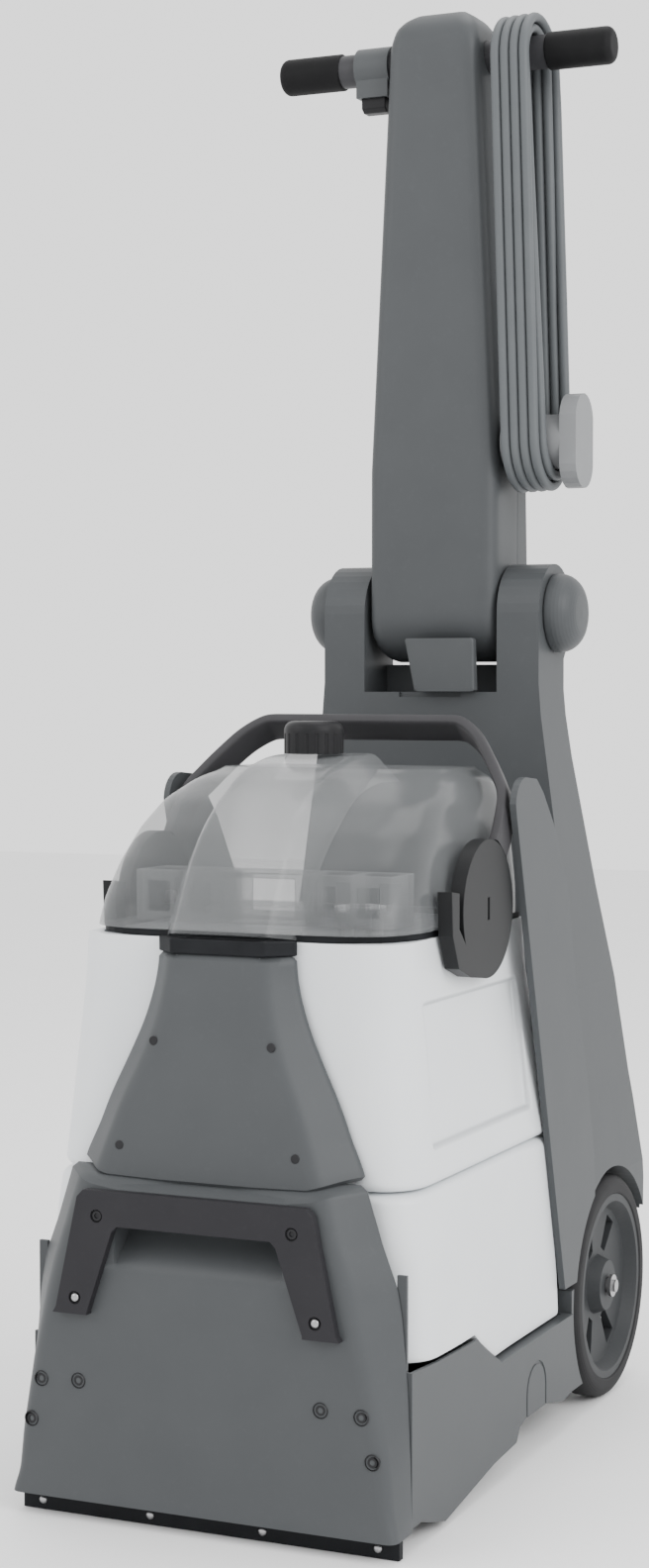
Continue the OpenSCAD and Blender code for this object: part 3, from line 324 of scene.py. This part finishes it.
# ---- Upper front panel ----
# Tapering moulded panel over the suction duct, held by four dark screws.
def panel_rings():
    """Trapezoid section at each height, its face narrower than its foot, with edges drawn round."""
    z = np.linspace(0.2372, 0.3938, 48)
    f, g = eased(z, [[0.237, 0.084, 0.108], [0.262, 0.077, 0.100], [0.293, 0.066, 0.088], [0.321, 0.052, 0.074],
        [0.347, 0.0425, 0.062], [0.374, 0.0375, 0.054], [0.394, 0.035, 0.052]], 0.010)
    front = -0.262 + (z - 0.237) * 20 / 163
    back = -0.2315 + np.clip(z - 0.242, 0, 1) * 0.05
    edge = np.minimum(np.minimum(z - 0.2372, 0.3938 - z), 0.003)
    inset = 0.003 - np.sqrt(np.maximum(0, 0.003**2 - (0.003 - edge) ** 2))
    f, g, front = f - inset, g - inset, front + inset
    side = np.stack([np.stack([-g, back], 1), np.stack([-g, back - 0.0035], 1), np.stack([-f, front], 1),
        np.stack([f, front], 1), np.stack([g, back - 0.0035], 1), np.stack([g, back], 1)], 1)
    flat = rounded(side, np.tile([0.0005, 0.004, 0.007, 0.007, 0.004, 0.0005], (len(z), 1)), 6, 3)
    height = np.repeat(z[:, None], flat.shape[1], axis=1)
    height = height + shoulder(flat[..., 0]) * np.clip((0.272 - height) / 0.035, 0, 1)
    return np.concatenate([flat, height[..., None]], axis=2)


skin("upper_panel", panel_rings(), grey, "root", "grey_cover", "front_panel")


# ---- Carry bracket, seals, screws and nozzle lip ----
# Stamped dark bracket with splayed legs, plated and blackened screws, a rubber band round the duct's
# mouth and a rubber lip that rides on the carpet.
bracket = finish("dark_bracket", (0.016, 0.0155, 0.018), (0.023, 0.0225, 0.025), 0.46, slow=26, shine=0.14)
plated = finish("plated_steel", (0.30, 0.30, 0.31), (0.42, 0.42, 0.42), 0.28, metal=1.0, grain=900, depth=0.00003)
blackened = finish("black_screw", (0.012, 0.012, 0.013), (0.025, 0.025, 0.027), 0.45, metal=0.3, depth=0.00003)
rubber = finish("soft_rubber", (0.006, 0.0065, 0.0075), (0.014, 0.015, 0.017), 0.55, slow=45, shine=0.10)
black = finish("black_plastic", (0.008, 0.008, 0.009), (0.016, 0.016, 0.017), 0.42, slow=30, shine=0.15)
dress(bracket, 0.0014, "carry_bracket")
dress(blackened, 0.0006, "cover_screws")
dress(rubber, 0.0010, "panel_band", "tank_seal", "nozzle_strip", "drive_belt")



def turned(name, profile, spots, material, body):
    """Round parts that face the front: a profile of [radius, y] carried round an axis along Y at each spot."""
    profile = np.asarray(profile, float)
    n = 20
    a = np.linspace(0, 2 * np.pi, n, endpoint=False)
    radius = profile[:, 0, None]
    ring = np.stack([radius * np.cos(a), np.repeat(profile[:, 1, None], n, 1), radius * np.sin(a)], -1)
    k = len(profile)
    i, j = np.meshgrid(np.arange(k - 1), np.arange(n), indexing="ij")
    nxt = (j + 1) % n
    quads = np.stack([i * n + j, i * n + nxt, (i + 1) * n + nxt, (i + 1) * n + j], -1).reshape(-1, 4)
    spots = np.asarray(spots, float)
    verts = (ring.reshape(1, -1, 3) + spots[:, None, :]).reshape(-1, 3)
    faces = (quads[None] + (np.arange(len(spots)) * k * n)[:, None, None]).reshape(-1, 4)
    mesh = bpy.data.meshes.new(name)
    mesh.from_pydata(verts.tolist(), [], faces.tolist())
    mesh.polygons.foreach_set("use_smooth", np.ones(len(mesh.polygons), bool))
    mesh.set_sharp_from_angle(angle=math.radians(40))
    piece = bpy.data.objects.new(name, mesh)
    scene.collection.objects.link(piece)
    mesh.materials.append(material)
    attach(piece, body)
    return piece


cup = [[0.0001, 0.0016], [0.0018, 0.0016], [0.0020, 0.0006], [0.0034, 0.0006], [0.0040, 0.0014],
    [0.0046, 0.0014], [0.0050, -0.0002], [0.0056, 0.0006]]
shell_spots = [[s * x, -0.2738, z] for s in (-1, 1) for x, z in ((0.092, 0.098), (0.1215, 0.0965), (0.1295, 0.0675))]
turned("shell_screws", cup, shell_spots, blackened, "root")
dome = [[0.0001, -0.0014], [0.0012, -0.0013], [0.0024, -0.0008], [0.0031, 0.0], [0.0032, 0.0012]]
bar_spots = [[s * 0.0738, -0.2796, 0.2153] for s in (-1, 1)]
leg_spots = [[s * 0.0909, -0.2796, 0.1575] for s in (-1, 1)]
lip_spots = [[x, -0.2603, 0.0065] for x in (-0.128, -0.043, 0.043, 0.128)]
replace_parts(turned("bracket_screws", cup, bar_spots, blackened, "root"), "bright_screws")
turned("plated_screws", dome, leg_spots + lip_spots, plated, "root")

# ---- Base, brush and drive ----
# Grey moulded tub. The brush roll turns in a black trough under it, driven by a belt from a motor.
duct_plastic = finish("duct_plastic", (0.24, 0.25, 0.26), (0.30, 0.31, 0.32), 0.45)
motor_paint = finish("motor_case", (0.20, 0.21, 0.22), (0.26, 0.27, 0.28), 0.40, coat=0.2)
nylon = finish("bristle_nylon", (0.06, 0.06, 0.065), (0.16, 0.16, 0.165), 0.55, slow=120)
dress(grey, 0.0016, "base_tray")
dress(duct_plastic, 0.0008, "suction_duct")
dress(black, 0.0008, "brush_housing", "pump", "spray_jets", "tank_valve", "brush_pulley")
dress(motor_paint, 0.0010, "brush_motor", "vacuum_motor")
dress(plated, 0, "motor_pulley", "axle", "axle_bolts", "pivot_pin", "bail_pivots", "hook_pin")
dress(nylon, 0, "brush_roll")

# ---- Rear column and cradle ----
# Hollow grey column with wheel wells, a screwed-on back with vents, and cheeks that guide the tanks.
dress(grey, 0.0035, "rear_frame", segments=4)
dress(grey, 0.0015, "rear_cover", "tank_cradle")
dress(grey, 0.0020, "pivot_cap_left", "pivot_cap_right")
mid_grey = finish("mid_grey", (0.050, 0.054, 0.057), (0.064, 0.068, 0.071), 0.45)
hook_grey = finish("hook_grey", (0.150, 0.155, 0.160), (0.185, 0.190, 0.195), 0.42)
dress(mid_grey, 0.0020, "trigger_housing")
dress(hook_grey, 0.0040, "cord_hook", segments=4)

# ---- Mast latch ----
# Spring-loaded moulded tab over the foot of the mast. Its sides slant, and it hinges on a pin at its foot.
def oblong(left, right, front, rear):
    """Corners of one rectangle per level, (level, corner, xy), from the left rear one by way of the front."""
    return np.stack([np.stack([left, rear], 1), np.stack([left, front], 1), np.stack([right, front], 1),
        np.stack([right, rear], 1)], 1)


def upright(flat, z):
    """Plan rings (level, point, xy) raised to their heights z."""
    return np.concatenate([flat, np.tile(z[:, None, None], (1, flat.shape[1], 1))], axis=2)


def latch_rings():
    """Rounded rectangle at each height, slid sideways as it falls and drawn thinner towards its top."""
    z = np.concatenate([[0.5735], np.linspace(0.5745, 0.615, 16), [0.6165]])
    t = np.clip((z - 0.5735) / 0.0425, 0, 1)
    middle = 0.016 - 0.0045 * t
    half = 0.0262 + 0.0040 * t - 0.0015 * (np.abs(t - 0.5) > 0.49)
    front = 0.1355 - 0.0005 * t
    rear = 0.1441 - 0.002 * t
    corners = oblong(middle - half, middle + half, front, rear)
    flat = rounded(corners, np.tile([0.001, 0.0025, 0.0025, 0.001], (len(z), 1)), 5, 3)
    return upright(flat, z)


skin("mast_latch_tab", latch_rings(), mid_grey, "latch", "mid_grey", "mast_latch")

# ---- Wheels ----
# Solid black rubber tyres on dished grey rims with four slots.
tyre = finish("tyre_rubber", (0.010, 0.010, 0.011), (0.024, 0.024, 0.025), 0.66, slow=60, grain=900, depth=0.0001,
    scuff=0.25, shine=0.15)
rim_plastic = finish("rim_plastic", (0.026, 0.028, 0.030), (0.036, 0.038, 0.040), 0.5, slow=30, shine=0.15)
dress(tyre, 0.0015, "tyre_left", "tyre_right")
dress(rim_plastic, 0.0010, "rim_left", "rim_right")


# ---- Tanks ----
# Blow-moulded white polyethylene. Light soaks into it a little. The lower tank steps over the base's rim, and
# each side of the upper tank has a shallow panel.
def milky(name):
    """White polyethylene: soft cloudy white, darkened by painted shade along the borders of the side panels, with a
    satin skin and a fine ripple.
    """
    made = bpy.data.materials.new(name)
    made.use_nodes = True
    tree = made.node_tree
    shader = tree.nodes["Principled BSDF"]
    place = Wire(tree, tree.nodes.new("ShaderNodeTexCoord").outputs["Object"])
    cloud = place.noise(9, 4)
    crease = place.node("ShaderNodeAttribute", {"attribute_name": "crease"}, {}, 2)
    white = cloud.blend((0.62, 0.645, 0.665), (0.72, 0.74, 0.755))
    # Painted shade: the white turns grey along the borders of the side panels, where the step would be in shade.
    (crease * 0.85).blend(white, (0.34, 0.355, 0.37)).feed(shader, "Base Color")
    (0.30 + place.noise(40, 3) * 0.12).feed(shader, "Roughness")
    ripple = place.noise(60, 2) + place.noise(700, 2) * 0.15
    ripple.node("ShaderNodeBump", {}, {"Strength": 0.35, "Distance": 0.0004, "Height": ripple}).feed(shader, "Normal")
    shader.inputs["Subsurface Weight"].default_value = 0.08
    shader.inputs["Subsurface Radius"].default_value = (0.010, 0.010, 0.010)
    return made


milk = milky("tank_white")


def tank_outline(half, back_half, front, rear, corner, steps=9, fill=34):
    """Plan of a tank at each level: wide over its front two thirds, drawn in where the cheeks hold it."""
    corners = np.stack([
        np.stack([-half, front], 1), np.stack([half, front], 1), np.stack([half, np.full_like(half, -0.150)], 1),
        np.stack([back_half, np.full_like(half, -0.056)], 1), np.stack([back_half, rear], 1),
        np.stack([-back_half, rear], 1), np.stack([-back_half, np.full_like(half, -0.056)], 1),
        np.stack([-half, np.full_like(half, -0.150)], 1)], 1)
    bends = np.stack([corner, corner, 0 * corner + 0.03, 0 * corner + 0.03, 0 * corner + 0.014, 0 * corner + 0.014,
        0 * corner + 0.03, 0 * corner + 0.03], 1)
    return rounded(corners, bends, steps, fill)


def rim_under(y):
    """Height of the base's rim at a depth y, where the lower tank rests a millimetre above it."""
    return np.interp(y, [-0.242, -0.194, -0.120, -0.104, -0.072, 0.088], [0.121, 0.118, 0.116, 0.106, 0.089, 0.089]) + 0.0012


def clear_of_panel(flat):
    """Rings with a shallow hollow in their fronts: the way past the panel, its seal and the duct."""
    way = np.interp(np.abs(flat[..., 0]), [0.054, 0.109, 0.124], [-0.2225, -0.2301, -0.2345])
    return np.stack([flat[..., 0], np.maximum(flat[..., 1], way)], axis=-1)


def lower_tank_rings():
    """Level rings from the seam down, the lowest of them squeezed on to the line of the rim."""
    t = np.unique(np.concatenate([np.linspace(0, 0.08, 6), np.linspace(0.08, 0.86, 26), np.linspace(0.86, 1, 12)]))
    z = 0.0905 + t * (0.2355 - 0.0905)
    half, back, front, rear, corner = eased(z, [[0.07, 0.1445, 0.1392, -0.232, 0.080, 0.034],
        [0.190, 0.1445, 0.1392, -0.232, 0.068, 0.034], [0.228, 0.1412, 0.1392, -0.2305, 0.062, 0.036],
        [0.240, 0.1400, 0.1390, -0.230, 0.060, 0.036]], 0.008)
    roll = 0.008 - np.sqrt(np.maximum(0, 0.008**2 - np.clip(z - 0.2275, 0, 0.008) ** 2))
    foot = 0.004 - np.sqrt(np.maximum(0, 0.004**2 - np.clip(0.0945 - z, 0, 0.004) ** 2))
    inset = roll + foot
    flat = clear_of_panel(tank_outline(half - inset, back - inset, front + inset, rear - inset, corner))
    low = rim_under(flat[..., 1])
    height = low + t[:, None] * (0.2355 - low)
    return np.concatenate([flat, height[..., None]], axis=2)


skin("water_tank", lower_tank_rings(), milk, "lower_tank", "tank_white", "lower_tank")


panel_shade_lines = []


def upper_tank_rings():
    """Outer rings up to the rim, then back down inside to make the wall; the side panels are sunk in, and a line
    round each panel's border is kept for painted shade.
    """
    z = np.unique(np.concatenate([np.linspace(0.2362, 0.246, 8), np.linspace(0.246, 0.395, 90),
        np.linspace(0.395, 0.403, 6)]))
    half, back, front, rear, corner = eased(z, [[0.230, 0.1402, 0.1391, -0.2305, 0.050, 0.036],
        [0.242, 0.1392, 0.1387, -0.230, 0.050, 0.038], [0.367, 0.1255, 0.1255, -0.223, 0.039, 0.056],
        [0.403, 0.1240, 0.1240, -0.221, 0.036, 0.060]], 0.008)
    roll = 0.007 - np.sqrt(np.maximum(0, 0.007**2 - np.clip(0.2432 - z, 0, 0.007) ** 2))
    flat = clear_of_panel(tank_outline(half - roll, back - roll, front + roll, rear - roll, corner))
    rings = upright(flat, z)

    def ramp(v, a, b):
        return np.clip((v - a) / 0.0045, 0, 1) * np.clip((b - v) / 0.0045, 0, 1)

    level = (rings[..., 2] - 0.260) / 0.101
    window = ramp(rings[..., 1], -0.186 + 0.009 * level, 0.015 - 0.008 * level) * ramp(rings[..., 2], 0.2600, 0.3610)
    window = window * window * (3 - 2 * window)
    rings[..., 0] -= np.sign(rings[..., 0]) * window * 0.0045
    # The middle of each border ramp is kept as the mask of painted shade for the tank's colour.
    panel_shade_lines.append(4 * window * (1 - window))
    inner_z = np.array([0.403, 0.395, 0.330, 0.250, 0.2395])
    half, back, front, rear, corner = eased(inner_z, [[0.230, 0.1300, 0.1300, -0.2250, 0.044, 0.036],
        [0.403, 0.1160, 0.1160, -0.214, 0.030, 0.058]], 0.004)
    hollow = tank_outline(half, back, front, rear, corner)
    hollow = np.stack([hollow[..., 0], np.maximum(hollow[..., 1], clear_of_panel(hollow)[..., 1] + 0.003)], axis=-1)
    return np.concatenate([rings, upright(hollow, inner_z)], axis=0)


recovery_tank = skin("recovery_tank", upper_tank_rings(), milk, "upper_tank", "tank_white", "upper_tank")
# Painted shade: the mask is stored on the outer wall's points, and the inner wall gets none.
crease = recovery_tank.data.attributes.new("crease", "FLOAT", "POINT")
outer = panel_shade_lines[0].ravel()
crease.data.foreach_set("value", np.concatenate([outer, np.zeros(len(recovery_tank.data.vertices) - len(outer))]))


# ---- Clear lid ----
# Clear styrene lid, slightly smoky, with frames hung inside it, a float in a cage and a raised duct over its crown.
def clear(name, tint, low, high, rough):
    """Smoky clear plastic: nearly open where it faces the eye and more opaque at the rims, where a painted sheen also
    lightens its colour, with faint haze.
    """
    made = bpy.data.materials.new(name)
    made.use_nodes = True
    tree = made.node_tree
    shader = tree.nodes["Principled BSDF"]
    place = Wire(tree, tree.nodes.new("ShaderNodeTexCoord").outputs["Object"])
    haze = place.noise(14, 4)
    edge = place.node("ShaderNodeLayerWeight", {}, {"Blend": 0.35}, 1)
    # Painted sheen: the colour is lightened towards the rims, where the eye meets the surface at a slant, and the
    # haze noise varies the tint at random.
    (haze * 0.5 + edge * 0.5).blend(tint, tuple(min(1, c * 1.35) for c in tint)).feed(shader, "Base Color")
    (low + (high - low) * edge + haze * 0.08).feed(shader, "Alpha")
    (rough + haze * 0.06).feed(shader, "Roughness")
    shader.inputs["Coat Weight"].default_value = 0.3
    shader.inputs["Coat Roughness"].default_value = 0.22
    return made


glassy = clear("clear_lid", (0.150, 0.156, 0.160), 0.14, 0.72, 0.18)
frames = clear("hung_frames", (0.20, 0.207, 0.212), 0.22, 0.80, 0.20)


def lid_rings():
    """Nearly upright sides that round over into a flat crown; the front falls back as it rises."""
    t = np.unique(np.concatenate([np.linspace(0, 0.85, 30), np.linspace(0.85, 1, 18)]))
    share, front, rear, corner = eased(t, [[0, 1, 0.008, 0.002, 0.058], [0.18, 0.99, 0.020, 0.002, 0.052],
        [0.4, 0.968, 0.040, 0.001, 0.048], [0.62, 0.94, 0.068, 0, 0.044], [0.8, 0.9, 0.100, -0.002, 0.040],
        [0.93, 0.83, 0.138, -0.006, 0.036], [1, 0.73, 0.168, -0.014, 0.030]], 0.03)
    half = 0.124 * share
    front = -0.230 + front
    rear = 0.036 + rear
    z = 0.408 + t * 0.109
    crown = np.linspace(0, 1, 7)[1:]
    half = np.concatenate([half, half[-1] * (1 - 0.75 * crown)])
    front = np.concatenate([front, front[-1] + 0.030 * crown])
    rear = np.concatenate([rear, rear[-1] - 0.030 * crown])
    corner = np.concatenate([corner, corner[-1] * (1 - 0.6 * crown)])
    z = np.concatenate([z, z[-1] + 0.0010 * crown])
    corners = np.roll(oblong(-half, half, front, rear), -1, axis=1)
    flat = rounded(corners, np.stack([corner, corner, corner * 0.62, corner * 0.62], 1), 12, 6)
    return upright(flat, z)


skin("clear_lid", lid_rings(), glassy, "lid", "clear_plastic", "lid_dome", sharp=60)


def duct_rings():
    """Trapezoid section carried over the crown: outer corners on one curve, flared feet on the other."""
    outer = np.array([[-241, 4], [-226, 30], [-210, 56], [-184, 83], [-139, 110], [-95, 121.5], [-50, 124]]) / 1000
    foot = np.array([[-221, 4], [-205, 30], [-186, 54], [-160, 76], [-125, 98], [-85, 107], [-46, 107]]) / 1000
    line = through(np.column_stack([outer[:, 0], outer[:, 1], 0 * outer[:, 0]]), 7)
    base = through(np.column_stack([foot[:, 0], foot[:, 1], 0 * foot[:, 0]]), 7)
    k = len(line)
    corners = np.stack([np.stack([np.full(k, -0.052), np.zeros(k)], 1), np.stack([np.full(k, -0.035), np.ones(k)], 1),
        np.stack([np.full(k, 0.035), np.ones(k)], 1), np.stack([np.full(k, 0.052), np.zeros(k)], 1)], 1)
    scale = np.array([1, 0.018])
    flat = rounded(corners * scale, np.tile([0.0005, 0.005, 0.005, 0.0005], (k, 1)), 6, 4) / scale
    x, h = flat[..., 0], flat[..., 1]
    y = base[:, None, 0] + 0.004 + (line[:, None, 0] - base[:, None, 0] - 0.004) * h
    z = base[:, None, 1] - 0.004 + (line[:, None, 1] - base[:, None, 1] + 0.004) * h
    return np.stack([x, y, 0.404 + np.maximum(z, 0.0005)], axis=2)


skin("clear_duct", duct_rings(), glassy, "lid", "clear_plastic", "lid_duct")
dress(frames, 0.0010, "lid_baffle")
float_plastic = finish("float_plastic", (0.60, 0.34, 0.08), (0.75, 0.42, 0.10), 0.3, coat=0.3)
cage_plastic = finish("cage_plastic", (0.55, 0.56, 0.57), (0.62, 0.63, 0.64), 0.4)
dress(cage_plastic, 0.0006, "float_cage")
dress(float_plastic, 0, "float_ball")
dress(black, 0.0015, "tank_cap")


# ---- Bail and latch discs ----
# Dark glass-filled nylon. A flat strap runs over the lid from disc to disc and leans back at rest.
def bail_rings():
    """Flat strap with round edges carried along its path: the path in a plane that leans back 37 degrees."""
    side = np.array([[0.1330, 0.0510], [0.1330, 0.0690], [0.1302, 0.0930], [0.1213, 0.1108], [0.1100, 0.1292],
        [0.0978, 0.1460], [0.0842, 0.1572], [0.0730, 0.1600]])
    half = np.vstack([side, [[0.050, 0.1600], [0.025, 0.1600]]])
    path = np.vstack([half, [[0, 0.1600]], half[::-1] * [-1, 1]])
    line = through(np.column_stack([path, np.zeros(len(path))]), 6)
    line[:, 1] = np.minimum(line[:, 1], 0.1600)
    along = np.gradient(line[:, :2], axis=0)
    along /= np.linalg.norm(along, axis=1, keepdims=True)
    out = np.stack([-along[:, 1], along[:, 0]], 1)
    a = np.linspace(0, 2 * np.pi, 28, endpoint=False)
    w = np.sign(np.cos(a)) * np.abs(np.cos(a)) ** 0.35 * 0.0130
    h = np.sign(np.sin(a)) * np.abs(np.sin(a)) ** 0.45 * 0.0044
    across = line[:, None, :2] + out[:, None] * h[None, :, None]
    lean = math.radians(37)
    y = -0.082 + across[..., 1] * math.sin(lean) + w[None, :] * math.cos(lean)
    z = 0.4185 + across[..., 1] * math.cos(lean) - w[None, :] * math.sin(lean)
    return np.stack([across[..., 0], y, z], axis=2)


dark = finish("dark_nylon", (0.034, 0.0335, 0.036), (0.046, 0.045, 0.048), 0.44, slow=28, shine=0.15)
skin("carry_bail", bail_rings(), dark, "bail", "dark_bracket", "bail")
disc_nylon = finish("disc_nylon", (0.0085, 0.009, 0.0095), (0.014, 0.0145, 0.0155), 0.44, slow=28, shine=0.15)
dress(disc_nylon, 0.0028, "latch_disc_left", "latch_disc_right", segments=4)


# ---- Mast ----
# Two grey mouldings screwed back to back round the cross-bar, hinged on a pin between the column's ears.
def mast_rings():
    """Upright loft: the width follows the mast's front view, the depth its side view, and the two front
    edges are drawn round. The back of each ring is held at the joint between the two mouldings."""
    quarter = np.linspace(0, np.pi / 2, 14)
    z = np.unique(np.concatenate([0.597 + 0.040 * (1 - np.cos(quarter)), np.linspace(0.637, 1.096, 60),
        1.096 + 0.030 * np.sin(quarter)]))
    z = np.clip(z, 0.5975, 1.1256)
    half = np.interp(z, [0.597, 0.600, 0.606, 0.618, 0.752, 1.096, 1.112, 1.120, 1.1256],
        [0.040, 0.048, 0.0525, 0.0555, 0.0555, 0.0385, 0.0350, 0.0295, 0.0200])
    low = np.sqrt(np.maximum(1e-8, 0.040**2 - np.clip(0.637 - z, 0, 0.04) ** 2))
    high = np.sqrt(np.maximum(1e-8, 0.030**2 - np.clip(z - 1.096, 0, 0.03) ** 2))
    front = np.where(z < 0.637, 0.185 - low, np.where(z > 1.096, 0.175 - high, 0.145))
    rear = np.where(z < 0.637, 0.185 + low, np.where(z > 1.096, 0.175 + high, 0.230))
    rear = np.minimum(rear, 0.1998)
    front = np.minimum(front, rear - 0.0015)
    corners = oblong(-half, half, front, rear)
    depth = rear - front
    soft = np.minimum(0.013, 0.4 * depth)
    flat = rounded(corners, np.stack([soft * 0.05, soft, soft, soft * 0.05], 1), 9, 4)
    return upright(flat, z)


skin("mast_cover", mast_rings(), grey, "mast", "grey_cover", "mast_front")
dress(grey, 0.0020, "mast_rear")
tube_paint = finish("tube_paint", (0.030, 0.030, 0.033), (0.040, 0.040, 0.043), 0.42, slow=40, shine=0.2)
dress(tube_paint, 0.0006, "handle_tube")
grip_rubber = finish("grip_rubber", (0.005, 0.005, 0.0055), (0.010, 0.010, 0.0105), 0.58, slow=60, grain=600,
    depth=0.00015, shine=0.10)
dress(grip_rubber, 0.0010, "grip_left", "grip_right")
dress(black, 0.0008, "spray_trigger", "power_switch")

# ---- Floor and light ----
# A pale floor that runs on to a white surround, with three broad soft lamps.
floor_mesh = bpy.data.meshes.new("floor")
floor_mesh.from_pydata([(-6, -6, -0.0005), (6, -6, -0.0005), (6, 6, -0.0005), (-6, 6, -0.0005)], [], [(0, 1, 2, 3)])
floor = bpy.data.objects.new("floor", floor_mesh)
scene.collection.objects.link(floor)
floor_mesh.materials.append(finish("pale_floor", (0.86, 0.86, 0.86), (0.90, 0.90, 0.90), 0.6, slow=2, grain=200))
world = bpy.data.worlds.new("surround")
scene.world = world
world.use_nodes = True
world.node_tree.nodes["Background"].inputs["Color"].default_value = (1, 1, 1, 1)
world.node_tree.nodes["Background"].inputs["Strength"].default_value = 1.7


def lamp(name, place, aim, size, power):
    """Square soft lamp at a place, turned to face a point."""
    light = bpy.data.lights.new(name, "AREA")
    light.size = size
    light.energy = power
    made = bpy.data.objects.new(name, light)
    scene.collection.objects.link(made)
    made.location = place
    away = np.array(place, float) - np.array(aim, float)
    tilt = math.atan2(math.hypot(away[0], away[1]), away[2])
    made.rotation_euler = (tilt, 0, math.atan2(away[1], away[0]) + math.pi / 2)


lamp("right_lamp", (2.2, -0.9, 1.7), (0, 0, 0.5), 1.6, 52)
lamp("left_lamp", (-1.9, -2.0, 1.9), (0, 0, 0.5), 1.6, 26)
lamp("top_lamp", (0.2, 0.5, 2.8), (0, 0, 0.5), 1.4, 18)
